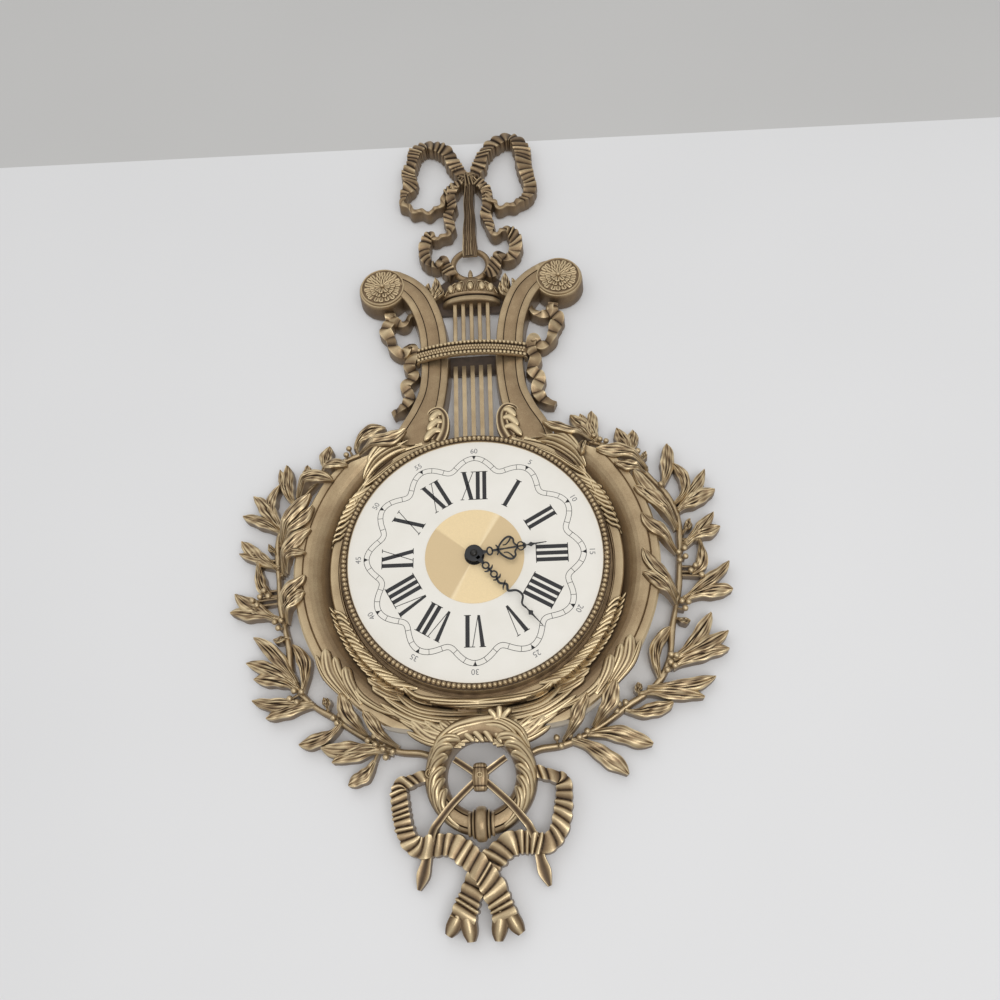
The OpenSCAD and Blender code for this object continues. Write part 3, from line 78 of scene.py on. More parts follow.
class Finish:
    def __init__(self, name, **constants):
        self.material = bpy.data.materials.new(name)
        self.material.use_nodes = True
        self.tree = self.material.node_tree
        self.shader = self.tree.nodes["Principled BSDF"]
        self.set(**constants)

    def feed(self, socket, value):
        if isinstance(value, Wire):
            self.tree.links.new(value.socket, socket)
        elif isinstance(value, tuple) and len(value) == 3 and socket.type == "RGBA":
            socket.default_value = (*value, 1)
        else:
            socket.default_value = value

    def node(self, kind, settings=None, inputs=None, output=0):
        made = self.tree.nodes.new(kind)
        for key, value in (settings or {}).items():
            if key == "stops":
                ramp = made.color_ramp
                while len(ramp.elements) < len(value):
                    ramp.elements.new(0.5)
                for element, (place, colour) in zip(ramp.elements, value):
                    element.position = place
                    element.color = (*colour, 1)
            else:
                setattr(made, key, value)
        for key, value in (inputs or {}).items():
            self.feed(made.inputs[key], value)
        return Wire(self, made.outputs[output])

    def mix(self, share, a, b):
        return self.node("ShaderNodeMix", {"data_type": "RGBA"}, {0: share, 6: a, 7: b}, 2)

    def place(self):
        return self.node("ShaderNodeTexCoord", output="Object")

    def axes(self):  # x, depth and height of the point, in metres
        split = self.node("ShaderNodeSeparateXYZ", {}, {0: self.place()}).socket.node
        return [Wire(self, out) for out in split.outputs]

    def aroundDial(self):  # across and up from the dial's axis, and the distance from it
        x, _, z = self.axes()
        z = z + hangHeight / 1000
        return x, z, (x * x + z * z) ** 0.5

    def pointed(self):  # high on outer edges, low in hollows
        return self.node("ShaderNodeNewGeometry", output="Pointiness")

    def grain(self, scale, detail=3.0, rough=0.55):
        return self.node("ShaderNodeTexNoise", {}, {"Vector": self.place(), "Scale": scale, "Detail": detail, "Roughness": rough})

    def bump(self, height, depth, strength=1.0):
        return self.node("ShaderNodeBump", {}, {"Height": height, "Distance": depth, "Strength": strength})

    def set(self, **sockets):
        for key, value in sockets.items():
            self.feed(self.shader.inputs[key.replace("_", " ")], value)
        return self


goldLook = {
    "stops": [(0.13, (0.035, 0.022, 0.012)), (0.33, (0.125, 0.080, 0.044)), (0.54, (0.305, 0.212, 0.118)),
    (0.88, (0.70, 0.56, 0.34))],
    "fine": 1400, "broad": 70, "carve": 0.62, "edge": 0.34, "grain": 0.22, "side": (0.165, 0.122, 0.086), "sideShare": 0.75,
    "sideTop": 0.009,
    "sideFoot": 0.003, "metal": 0.68, "sideMetal": 0.35, "roughLow": 0.29, "roughHigh": 0.55, "sideRough": 0.1, "pits": 0.00012,
}


def goldFinish(name, crestOf):
    look = goldLook
    f = Finish(name)
    _, depth, _ = f.axes()
    fine = f.grain(look["fine"], 4)
    broad = f.grain(look["broad"])
    edge = f.pointed().spread(0.44, 0.58)
    tone = crestOf(f) * look["carve"] + edge * look["edge"] + (fine - 0.5) * look["grain"] + (broad - 0.5) * look["grain"]
    paint = f.node("ShaderNodeValToRGB", {"stops": look["stops"]}, {0: tone})
    low = (0 - depth).spread(look["sideFoot"], look["sideTop"], 1, 0)
    f.set(Base_Color=f.mix(low * look["sideShare"], paint, look["side"]), Metallic=look["metal"] - low * look["sideMetal"])
    f.set(Roughness=tone.spread(0.1, 0.8, look["roughHigh"], look["roughLow"]) + low * look["sideRough"])
    f.set(Normal=f.bump(fine, look["pits"], 0.5))
    return f.material


def carved(f):  # crest painted on the ornament's own points
    return f.node("ShaderNodeAttribute", {"attribute_name": "crest"}, output=2)


# case body: crest by the distance from the dial's axis, in metres, with the inner cove painted darker towards the
# bottom as shade
turnedLook = {"band": (0.1176, 0.1184), "cove": (0.1190, 0.127), "lip": (0.1376, 0.1386), "shade": (0.1376, 0.128),
    "below": (0.03, 0.09), "coveTone": (0.54, 0.70), "bandTone": 0.66, "lipTone": 0.68, "shadeTone": 0.3}


def turned(f):
    look = turnedLook
    _, up, r = f.aroundDial()
    # the second term paints shade on the inner cove, growing darker towards the bottom
    cove = r.spread(*look["cove"], *look["coveTone"]) - (0 - up).spread(*look["below"]) * r.spread(*look["shade"], 0,
        look["shadeTone"])
    band = r.spread(*look["band"], 1, 0)
    lip = r.spread(*look["lip"])
    return cove * (1 - band) * (1 - lip) + band * look["bandTone"] + lip * look["lipTone"]


gold = goldFinish("carvedGold", carved)
goldTurned = goldFinish("turnedGold", turned)
goldPlain = goldFinish("plainGold", lambda f: f.pointed().spread(0.42, 0.6, 0.3, 0.9))
goldString = goldFinish("stringGold", lambda f: f.grain(60, 2).spread(0.2, 0.8, 0.40, 0.62))
print("gold finishes made")


def circle(count):
    return [(math.cos(2 * math.pi * j / count), math.sin(2 * math.pi * j / count)) for j in range(count)]


# relief kit: points are (x, y up from the dial's centre, height above the wall, crest), in mm
reliefLook = {"step": 0.02, "cycle": 23, "weld": 1e-7, "sharp": 38, "rim": 0.45}


class Relief:
    made = 0  # every shape stands a hair higher than the last, so that no two backs lie in one plane

    def __init__(self):
        self.points = []
        self.crests = []
        self.faces = []

    def add(self, x, y, h, c):
        self.points.append((x / 1000, -h / 1000, (y - hangHeight) / 1000))
        self.crests.append(c)

    def grid(self, rows, ring=False):
        first = len(self.points)
        count = len(rows)
        wide = len(rows[0])
        Relief.made += 1
        lowest = wallGap + reliefLook["step"] * (Relief.made % reliefLook["cycle"])
        for x, y, h, c in (point for row in rows for point in row):
            self.add(x, y, max(h, lowest), c)
        for i in range(count if ring else count - 1):
            a = first + i * wide
            b = first + (i + 1) % count * wide
            for j in range(wide):
                k = (j + 1) % wide
                self.faces.append((a + j, a + k, b + k, b + j))
        if not ring:
            self.faces.append(tuple(range(first, first + wide)))
            self.faces.append(tuple(range(first + (count - 1) * wide, first + count * wide)))

    def ball(self, centre, radius, crest=0.8, around=10, levels=6, squash=1.0, tall=1.0):
        x, y, h = centre
        rows = []
        for i in range(1, levels):
            out, up = math.sin(math.pi * i / levels), math.cos(math.pi * i / levels)
            tone = crest * lerp(reliefLook["rim"], 1, max(0, up))
            rows.append([(x + radius * out * c, y + radius * tall * out * s, h + radius * squash * up, tone) for c,
                s in circle(around)])
        self.grid(rows)

    def prism(self, outline, low, high, crest=0.5):
        self.grid([[(x, y, h, crest) for x, y in outline] for h in (low, high)])

    def build(self, name, material, stands=None, body="case"):
        mesh = bpy.data.meshes.new(name)
        mesh.from_pydata(self.points, [], self.faces)
        layer = mesh.attributes.new("crest", "FLOAT", "POINT")
        layer.data.foreach_set("value", self.crests)
        shape = bmesh.new()
        shape.from_mesh(mesh)
        bmesh.ops.remove_doubles(shape, verts=shape.verts, dist=reliefLook["weld"])
        bmesh.ops.recalc_face_normals(shape, faces=shape.faces)
        shape.to_mesh(mesh)
        shape.free()
        mesh.shade_smooth()
        mesh.set_sharp_from_angle(angle=math.radians(reliefLook["sharp"]))
        mesh.materials.append(material)
        piece = bpy.data.objects.new(name, mesh)
        bpy.context.collection.objects.link(piece)
        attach(piece, body)
        if stands:
            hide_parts(stands)

    def buildSide(self, name, node, side):
        where = "left" if side < 0 else "right"
        self.build(name + where.title(), gold, node + "_" + where)


def lerp(a, b, t):
    return a + (b - a) * t


def smoothRows(rows, steps):  # curve through the rows, one set of columns
    out = []
    last = len(rows) - 1
    for i in range(last):
        a, b, c, d = rows[max(i - 1, 0)], rows[i], rows[i + 1], rows[min(i + 2, last)]
        for k in range(steps):
            t = k / steps
            out.append([0.5 * (2 * q + (r - p) * t + (2 * p - 5 * q + 4 * r - s) * t * t + (3 * q - p - 3 * r + s) * t ** 3)
                for p, q, r, s in zip(a, b, c, d)])
    return out + [list(rows[last])]


def headings(path):
    out = []
    for i in range(len(path)):
        a, b = path[max(i - 1, 0)], path[min(i + 1, len(path) - 1)]
        dx, dy = b[0] - a[0], b[1] - a[1]
        size = math.hypot(dx, dy) or 1
        out.append((dx / size, dy / size))
    return out


def lengths(path):
    out = [0.0]
    for a, b in zip(path, path[1:]):
        out.append(out[-1] + math.hypot(b[0] - a[0], b[1] - a[1]))
    return out


def table(values, t):  # straight-line look-up along evenly spaced values
    place = min(max(t, 0), 1) * (len(values) - 1)
    i = min(int(place), len(values) - 2)
    return lerp(values[i], values[i + 1], place - i)


def flipped(rows, side=-1):
    return [[side * x, *rest] for x, *rest in rows]


def mirrorRibbon(rows):
    return [[-x, y, w, right, left] for x, y, w, left, right in rows]


def mirrored(half, middle=()):
    return [*half, *middle, *((-a, h, c) for a, h, c in reversed(half))]


def skirted(top, foot, flare, share, tones, edges=None):  # drops the two edges of a strip to its foot
    (left, leftTop, _), (right, rightTop, _) = top[0], top[-1]
    leftTop, rightTop = edges or (leftTop, rightTop)
    return [(left + flare[0], foot, tones[0]), (left + flare[1], lerp(foot, leftTop, share), tones[1]), *top,
        (right - flare[1], lerp(foot, rightTop, share), tones[1]), (right - flare[0], foot, tones[0])]


def sweep(relief, path, sectionOf):  # sectionOf(i) gives [(across, height, crest), ...]
    rows = []
    for i, ((x, y, *_), (tx, ty)) in enumerate(zip(path, headings(path))):
        rows.append([(x - ty * a, y + tx * a, h, c) for a, h, c in sectionOf(i)])
    relief.grid(rows)


def edgeToEdge(count):  # steps across a strip, from 1 at its left edge to -1 at its right
    return [1 - 2 * k / count for k in range(count + 1)]


def hashed(k, seed=0.0):  # a fixed number from 0 to 1 for every step
    return (math.sin(12.9898 * k + 78.233 * seed + 1.7) * 4375.85) % 1


# lance-shaped leaf: ragged outline, a few thin lengthwise grooves, tip curled up
leafLook = {"stations": 26, "across": 24, "width": [0.30, 0.36, 0.46, 0.60, 0.76, 0.90, 0.98, 1.0, 0.94, 0.80, 0.58, 0.14],
    "ridge": 1.8, "fold": 1.1, "paintedHalfShade": 0.13, "groove": 0.7, "thin": 0.07, "grooves": (-0.62, -0.36, 0.0, 0.30, 0.58),
    "tone": 0.80, "crinkle": 0.35, "tilt": 1.3, "ragged": 0.11, "curl": 1.4, "wobble": 0.7}


def leaf(relief, base, tip, bow, width, low, high, rise=1.0, seed=0):
    look = leafLook
    bx, by = base
    ux, uy = tip[0] - bx, tip[1] - by
    size = math.hypot(ux, uy)
    sx, sy = -uy / size, ux / size
    count = look["stations"]
    path = []
    for i in range(count):
        t = i / (count - 1)
        aside = bow * 4 * t * (1 - t) + look["wobble"] * math.sin(5 * t + seed * 2.1) * math.sin(math.pi * t)
        path.append((bx + ux * t + sx * aside, by + uy * t + sy * aside))

    def section(i):
        t = i / (count - 1)
        half = width / 2 * table(look["width"], t)
        reach = [half * (1 + look["ragged"] * (math.sin(8 * t + 1.7 * seed + 2 * n) + 0.5 * math.sin(19 * t + seed + n)))
            for n in (0, 1)]
        foot = lerp(low[0], low[1], min(1, t / min(1, rise + 0.25)))
        top = lerp(high[0], high[1], min(1, t / rise)) + look["ridge"] * math.sin(math.pi * t) + look["curl"] * max(0,
            t - 0.8) * 5
        tilt = look["tilt"] * math.sin(3.1 * t + 1.9 * seed)
        edge = [top - look["ridge"] + tilt, top - look["ridge"] - tilt]
        body = []
        for u in edgeToEdge(look["across"]):
            h = top - look["ridge"] * u * u + tilt * u
            h -= look["fold"] * math.exp(-(u / 0.28) ** 2) * min(1, 4 * t)
            crinkle = math.sin(15 * t + 4 * u + 2 * seed) * math.sin(7 * u - 6 * t + 3 * seed)
            h += look["crinkle"] * crinkle
            # the last term paints one half of each leaf lighter and the other darker, as light and shade across its
            # middle fold
            tone = look["tone"] + 0.30 * crinkle + 0.14 * abs(u) ** 5 + look["paintedHalfShade"] * math.tanh(5 * u) * math.cos(3 * seed)
            for n, where in enumerate(look["grooves"]):
                start, end = 0.45 * hashed(n, seed), 0.5 + 0.48 * hashed(n, seed + 1)
                run = min(1, max(0, (t - start) / 0.1), max(0, (end - t) / 0.15)) * (0.45 + 0.55 * hashed(n, seed + 2))
                dip = run * math.exp(-((u - where * (1 - 0.2 * t) - 0.12 * math.sin(5 * t + seed + 2 * n)) / look["thin"]) ** 2)
                h -= look["groove"] * dip
                tone -= 1.0 * dip
            body.append((u * reach[0 if u > 0 else 1], h, tone))
        return skirted(body, foot, (0.5, 0.12), 0.8, (0.18, 0.3), edge)

    sweep(relief, path, section)


# pleats: creases at uneven steps, each face climbs to the next crease
def creases(span, steps, seed):
    marks = [-12.0]
    while marks[-1] < span + 12:
        marks.append(marks[-1] + lerp(*steps, hashed(len(marks), seed) ** 1.4))
    return marks


def pleatAt(marks, place):  # number of the pleat, share of the way across it, distance to the nearest crease
    k = 0
    while k < len(marks) - 2 and marks[k + 1] <= place:
        k += 1
    wide = marks[k + 1] - marks[k]
    part = min(1, max(0, (place - marks[k]) / wide))
    return k, part, min(part, 1 - part) * wide


# pleated ribbon, rows are [x, y, width, height of the left edge, height of the right edge]
ribbonLook = {"steps": 22, "across": 12, "pleat": (3.4, 9.5), "depth": 2.4, "slant": 2.6, "crease": 0.5, "crown": 0.5,
    "draft": 0.8, "thin": 6.0, "sway": 1.9, "swayRun": 15.0, "roll": 1.4, "rollRun": 37.0, "base": -0.07}
swagLook = dict(ribbonLook, pleat=(8.0, 16.0), slant=1.0, roll=2.4, rollRun=30.0, base=0.12)
pendantRibbon = dict(ribbonLook, depth=2.2, base=0.19)


def ribbon(relief, rows, seed, look):
    path = smoothRows(rows, look["steps"])
    run = lengths(path)
    marks = creases(run[-1], look["pleat"], seed)

    def section(i):
        _, _, w, left, right = path[i]
        thin = min(1, max(0, (look["thin"] + 1.5 - w) / 3))
        shift = look["sway"] * thin * math.sin(2 * math.pi * run[i] / look["swayRun"] + seed)
        roll = look["roll"] * (1 - thin) * math.sin(2 * math.pi * run[i] / look["rollRun"] + 2 * seed)
        out = []
        for u in edgeToEdge(look["across"]):
            n, part, near = pleatAt(marks, run[i] + look["slant"] * u * math.sin(run[i] / 17 + seed))
            face = hashed(n, seed + 3)
            dark = math.exp(-(near / look["crease"]) ** 2)
            fold = math.sin(math.pi * part ** 0.75)
            edge = 1 + (0.16 * (face - 0.5) + 0.16 * (fold - 0.5)) * abs(u) ** 2 * (1 - thin)
            h = lerp(right, left, (1 + u) / 2) + look["crown"] * (1 - u * u) + roll * u
            h += look["depth"] * (1 - 0.85 * thin) * (0.4 + 0.7 * face) * (fold - 0.6)
            tone = lerp(look["base"] + 0.34 * face + 0.48 * fold ** 1.5 - 0.3 * dark, 0.78, 0.75 * thin)
            out.append((shift + w / 2 * u * edge, h, tone))
        return skirted(out, wallGap, (look["draft"], 0.3), 0.85, (0.15, 0.3))

    sweep(relief, path, section)


# lyre arms, rows are [x, y, width added, share of the drop]
armLook = {"width": 24.0, "face": 19.5, "drop": 4.0, "lip": 6.2, "rise": 0.35, "groove": 0.6, "draft": 1.6, "endRadius": 22.0,
    "endHeight": 18.8, "rows": [[49.5, 108, 15.5, 0], [48.4, 118, 11, 0], [41.4, 138, 4.4, 0.2], [35.7, 160, 0.4, 0.6],
    [33.5, 184, 0, 1], [34, 205, 0, 1], [36, 227, 0, 0.8], [40.5, 245, 0, 0.3], [48, 262, 0, 0], [58, 274.5, -1, 0],
    [70, 283, -2, 0], [76, 285, -3, 0]]}
rosetteAt = (82.0, 276.0)
plateFront = 3.8


def polar(r, degrees):  # clockwise from the top of the dial
    return (r * math.sin(math.radians(degrees)), r * math.cos(math.radians(degrees)))


# fluted strip, rows are [x, y, width, foot, top]
def fluted(relief, rows, flutes=1.0, phase=0.0, depth=0.8, crown=0.8, steps=8, tone=0.46, across=14):
    path = smoothRows(rows, steps)

    def section(i):
        _, _, w, foot, top = path[i]
        out = []
        for u in edgeToEdge(across):
            wave = math.cos(2 * math.pi * flutes * u + phase)
            out.append((w / 2 * u, top - crown * u * u + depth * (wave - 1) / 2, tone + 0.36 * wave))
        return skirted(out, foot, (0.4, 0.1), 0.85, (0.12, 0.2), (top - depth, top - depth))

    sweep(relief, path, section)


# one lobe of an acanthus leaf, rows are [x, y, width] from its root to its round tip, which stands highest
lobeLook = {"steps": 6, "across": 14, "root": 0.3, "round": 0.24, "groove": 0.8, "thin": 0.14, "foot": 3.0, "tone": 0.66,
    "lit": 0.48, "edge": 0.80}


def lobe(relief, rows, floorAt, lift=3.0, grooves=(0.0,), shade=0.0):
    look = lobeLook
    path = smoothRows(rows, look["steps"])
    out = []
    for i, ((x, y, w), (tx, ty)) in enumerate(zip(path, headings(path))):
        t = i / (len(path) - 1)
        tip = math.sqrt(max(0.04, 1 - max(0, (t - 1 + look["round"]) / look["round"]) ** 2))
        rise = lift * lerp(look["root"], 1, math.sin(math.pi / 2 * min(1, t / 0.8))) * lerp(0.6, 1, tip)
        row = []
        for k in range(-1, look["across"] + 2):
            u = min(1, max(-1, 1 - 2 * k / look["across"]))
            aside = w / 2 * tip * u
            px, py = x - ty * aside, y + tx * aside
            dip = sum(math.exp(-((u - at) / look["thin"]) ** 2) for at in grooves) * min(1, 5 * t, 4 * (1 - t))
            low = k < 0 or k > look["across"]
            h = floorAt(px, py) + (-look["foot"] if low else rise * (0.2 + 0.8 * math.sqrt(1 - u * u)) - look["groove"] * dip)
            tone = look["tone"] - shade + look["lit"] * (1 - u * u) - look["edge"] * (u ** 6 + 0.8 * dip)
            row.append((px, py, h, 0.1 if low else tone))
        out.append(row)
    relief.grid(out)


def lathe(relief, centre, axis, profile, around=48, streak=0.0, streaks=0):  # profile of (along the axis, radius, crest)
    x, y, h = centre
    rows = []
    for along, r, c in profile:
        row = []
        for j in range(around):
            a = 2 * math.pi * j / around
            out = r * (1 + streak * math.cos(streaks * a))
            across, up = out * math.cos(a), h + out * math.sin(a)
            row.append((x + along, y + across, up, c) if axis == "x" else (x + across, y + along, up, c))
        rows.append(row)
    relief.grid(rows)


def revolve(relief, centre, profile, around=72):  # profile of (radius, height, crest)
    relief.grid([[(centre[0] + r * c, centre[1] + r * s, h, crest) for c, s in circle(around)] for r, h, crest in profile])


def lyreArm(side):
    look = armLook
    relief = Relief()
    path = smoothRows(flipped(look["rows"], side), 10)

    def section(i):
        w = (look["width"] + path[i][2]) / 2
        face = look["face"] - look["drop"] * path[i][3]
        top = face + look["rise"]
        lip = w - look["lip"]
        half = [(w + look["draft"], wallGap, 0.1), (w + 0.3, top - 3, 0.3), (w, top - 1, 0.42), (w - 0.4, top - 0.3, 0.7),
            (w - 1, top, 0.64),
            (lip + 0.4, top, 0.58), (lip + 0.1, top - 0.1, 0.5), (lip - 0.15, face - look["groove"], 0.0),
            (lip - 0.45, face - look["groove"], 0.0),
            (lip - 0.7, face, 0.52), (lip - 1.6, face + 0.25, 0.55)]
        return mirrored(half, [(0, face + 0.8, 0.58)])

    sweep(relief, path, section)
    r, top = look["endRadius"], look["endHeight"]
    revolve(relief, (side * rosetteAt[0], rosetteAt[1]),
        [(r + 1.6, wallGap, 0.1), (r + 0.5, top - 4, 0.3), (r, top - 1.2, 0.55), (r - 0.6, top - 0.2, 0.8),
        (r - 1.2, top, 0.7), (0.2, top, 0.2)])
    for base, tip, bow, wide in (((39, 262), (33, 287), 3, 8), ((38, 264), (39, 281), -3, 6), ((37, 262), (28, 277), 3, 6)):
        leaf(relief, (side * base[0], base[1]), (side * tip[0], tip[1]), side * bow, wide, (plateFront + 0.2, plateFront + 0.2),
            (13.5, 14.5))
    relief.buildSide("lyreArm", "lyre_arm", side)


# rosettes: smooth rim, rings of overlapping petals, a ring of small beads among the inner petals and a boss
rosetteLook = {"radius": 20.5, "beads": 44, "beadRadius": 0.8, "beadFrom": -0.25, "boss": 2.2, "lift": 1.7, "shuffle": 1.4,
    "shade": 0.14, "rings": [(9.0, 17.6, 18, 6.2, 1.0), (5.0, 12.6, 13, 6.0, 1.8), (1.5, 8.0, 8, 5.6, 2.6)]}


def rosette(side):
    look = rosetteLook
    relief = Relief()
    cx, cy = side * rosetteAt[0], rosetteAt[1]
    floor = armLook["endHeight"] + 0.02
    r = look["radius"]
    revolve(relief, (cx, cy), [(r, floor, 0.3), (r, floor + 1.4, 0.5), (r - 0.5, floor + 2.0, 0.66), (r - 1.5, floor + 2.0, 0.6),
        (r - 2.2, floor + 1.2, 0.55), (10, floor + 2.2, 0.55), (0.3, floor + 3.4, 0.6)])
    for n, (near, far, count, wide, high) in enumerate(look["rings"]):
        for k in range(count):
            a = 360 * (k + 0.3 * hashed(k, n)) / count
            tip = far + look["shuffle"] * (hashed(k, n + 5) - 0.6)
            petal = []
            for out, w in ((near, 0.5), (lerp(near, far, 0.6), 1), (tip, 0.9)):
                x, y = polar(out, a)
                petal.append([cx + x, cy + y, w * wide])
            lobe(relief, petal, lambda x, y: floor + high, look["lift"], (0.0,), look["shade"])
    relief.ball((cx, cy, floor + 4.0), look["boss"], around=14, levels=9, squash=0.8)
    for c, s in circle(look["beads"]):
        if s > look["beadFrom"]:
            relief.ball((cx + (tip - 1) * c, cy + (tip - 1) * s, floor + 2.0), look["beadRadius"], around=8, levels=5)
    relief.buildSide("rosette", "rosette", side)


for side in (-1, 1):
    lyreArm(side)
    rosette(side)
print("lyre arms and rosettes made")


# bow, side ribbons and swags
ribbonHigh = 14.0


def tapes(*rows):  # rows of x, y, width and how far the left and the right edge lie below the ribbon's height
    return [[x, y, w, ribbonHigh - sum(drops[:1]), ribbonHigh - sum(drops[1:])] for x, y, w, *drops in rows]


bowLeft = tapes((-5, 411, 10), (-14, 428, 12), (-20, 444, 13, 0, 2), (-31, 455, 14, 0, 4), (-44, 458, 14, 0, 4),
    (-54, 450, 13, 0, 3), (-57, 436, 11, 0, 2), (-61, 422, 12, 4), (-58, 408, 12, 4), (-64, 396, 8, 2), (-66, 385, 5),
    (-57, 374, 5), (-44, 369, 4), (-33, 371, 4), (-26, 380, 5), (-20, 392, 8), (-8, 405, 9))
bowRight = tapes((5, 411, 10), (11, 425, 12), (15, 440, 12, 2), (24, 453, 13, 4), (38, 461, 14, 4), (50, 457, 15, 4),
    (55, 442, 15, 4), (56, 424, 14, 3), (59, 407, 12, 3), (61, 393, 11, 2), (57, 381, 9), (47, 374, 6), (36, 369, 4),
    (28, 371, 4), (21, 380, 5), (18, 392, 8), (8, 405, 9))
sideLeft = tapes((-13, 398, 7), (-18, 388, 8), (-17, 375, 9, 0, 3), (-21, 362, 8, 3), (-18, 349, 8, 0, 3), (-22, 340, 5),
    (-30, 335, 4), (-38, 340, 7), (-43, 331, 9, 3), (-44, 318, 10, 3), (-40, 307, 8), (-32, 303, 7), (-26, 309, 8),
    (-22, 299, 10, 0, 3), (-16, 290, 8))
sideRight = tapes((13, 398, 7), (17, 388, 8), (18, 375, 9, 3), (16, 362, 9, 0, 3), (20, 350, 8, 3), (20, 340, 5), (28, 337, 4),
    (37, 341, 7), (43, 333, 10, 0, 3), (44, 321, 11, 0, 3), (41, 310, 9), (34, 306, 7), (28, 312, 8), (24, 303, 10, 3),
    (21, 293, 10, 3), (15, 287, 8))
swagRight = tapes((76, 252, 9, 0, 3), (75, 243, 9, 3), (80, 234, 10, 0, 3), (75, 224, 9, 3), (72, 213, 8), (63, 206, 8, 0, 3),
    (56, 214, 8), (53, 205, 9, 3), (57, 193, 10, 0, 3), (53, 182, 9, 3), (60, 172, 9, 0, 3), (56, 160, 8, 3), (62, 150, 8),
    (72, 145, 6, 4, 4))
swagBranch = tapes((74, 250, 6, 0, 2), (71, 242, 7, 2), (64, 238, 6), (58, 244, 6, 0, 2), (52, 250, 5))
pendantLeft = tapes((-40, -164, 8, 3), (-53, -168, 8), (-60, -172, 10), (-60, -184, 12, 2), (-58, -196, 12, 2),
    (-54, -207, 12, 0, 2), (-46, -214, 13, 0, 2), (-34, -213, 14, 0, 2), (-22, -213, 15, 0, 2), (-11, -220, 16), (-2, -229, 16),
    (6, -240, 16), (11, -251, 16), (15, -262, 16))
tailTips = [[[13, -254, 9, wallGap, 13], [11.5, -262, 11, wallGap, 14.6], [10, -270, 10, wallGap, 13.6],
    [9.5, -276, 5, wallGap, 11]], [[16, -254, 9, wallGap, 13], [19, -261, 10, wallGap, 14.6], [22.5, -267, 9.5, wallGap, 13.6],
    [25.5, -271.5, 5, wallGap, 11]]]
crossOver = {-11: 1.0, -2: 2.2, 6: 2.2, 11: 0.6}  # the tail that lies on top at the crossing


def ribbonPiece(name, node, rowSets, look=ribbonLook, tips=()):
    relief = Relief()
    for k, rows in enumerate(rowSets):
        ribbon(relief, rows, k + len(name), look)
    for rows in tips:
        fluted(relief, rows, flutes=0.5, depth=1.6, steps=6, tone=0.58)
    relief.build(name, gold, node)


def lifted(rows, share):
    return [[x, y, w, *(edge + share * crossOver.get(x, 0) for edge in edges)] for x, y, w, *edges in rows]


ribbonPiece("bowLoopLeft", "bow_loop_left", [bowLeft])
ribbonPiece("bowLoopRight", "bow_loop_right", [bowRight])
ribbonPiece("sideRibbonLeft", "side_ribbon_left", [sideLeft])
ribbonPiece("sideRibbonRight", "side_ribbon_right", [sideRight])
ribbonPiece("swagRight", "ribbon_swag_right", [swagRight, swagBranch], swagLook)
ribbonPiece("swagLeft", "ribbon_swag_left", [mirrorRibbon(swagRight), mirrorRibbon(swagBranch)], swagLook)
ribbonPiece("pendantRibbon", "pendant_ribbon", [lifted(pendantLeft, 1), mirrorRibbon(lifted(pendantLeft, -1))], pendantRibbon,
    tailTips + [flipped(rows) for rows in tailTips])
print("ribbons made")

# laurel sprays, leaf rows are [base x, base y, tip x, tip y, bow, width], with a 1 where the tip lies on the border
laurelLook = {"leafTop": 12.0, "rest": 25.2, "berry": 2.5, "stemWidth": 4.4, "stemTop": 9.5, "stalkWidth": 2.2, "stalkTop": 8.0,
    "berryStalk": 1.6}
leavesLeft = [[-100, 108, -57, 119, -4, 12, 1], [-103, 112, -78, 132, 8, 12], [-131, 92, -126, 116, 1, 11],
    [-143, 82, -145, 99, 1, 7], [-152, 68, -118, 74, 10, 11, 1], [-134, 86, -106, 88, 3, 9, 1], [-155, 64, -163, 100, 2, 10],
    [-155, 62, -169, 96, 2, 8], [-164, 44, -168, 82, 9, 9], [-163, 38, -190, 72, -2, 12], [-163, 36, -198, 54, -2, 10],
    [-163, 27, -136, 63, 2, 12, 1], [-162, 26, -133, 52, -3, 10, 1], [-160, 0, -134, 32, 4, 11, 1], [-158, 2, -137, 11, 5, 8, 1],
    [-164, 6, -197, 31, 3, 11], [-164, 4, -198, 20, -3, 9], [-167, 18, -174, 27, 0, 5], [-181, 12, -168, -18, -5, 9],
    [-160, -38, -198, -15, 3, 12], [-160, -40, -201, -31, -4, 12], [-156, -35, -136, -8, 3, 11, 1],
    [-154, -42, -136, -22, 3, 10, 1], [-151, -54, -164, -55, 0, 6], [-143, -90, -180, -53, -3, 11],
    [-143, -92, -184, -73, -2, 11], [-142, -96, -177, -86, -4, 12], [-138, -98, -148, -60, -6, 10],
    [-130, -106, -177, -103, 3, 10], [-128, -109, -165, -117, -2, 10], [-106, -122, -138, -138, 4, 11],
    [-117, -112, -121, -103, 0, 6], [-86, -134, -104, -104, 2, 11, 1], [-62, -143, -86, -118, 2, 9, 1],
    [-72, -141, -121, -141, 3, 12], [-66, -147, -112, -152, -5, 11], [-80, -152, -99, -169, 2, 11]]
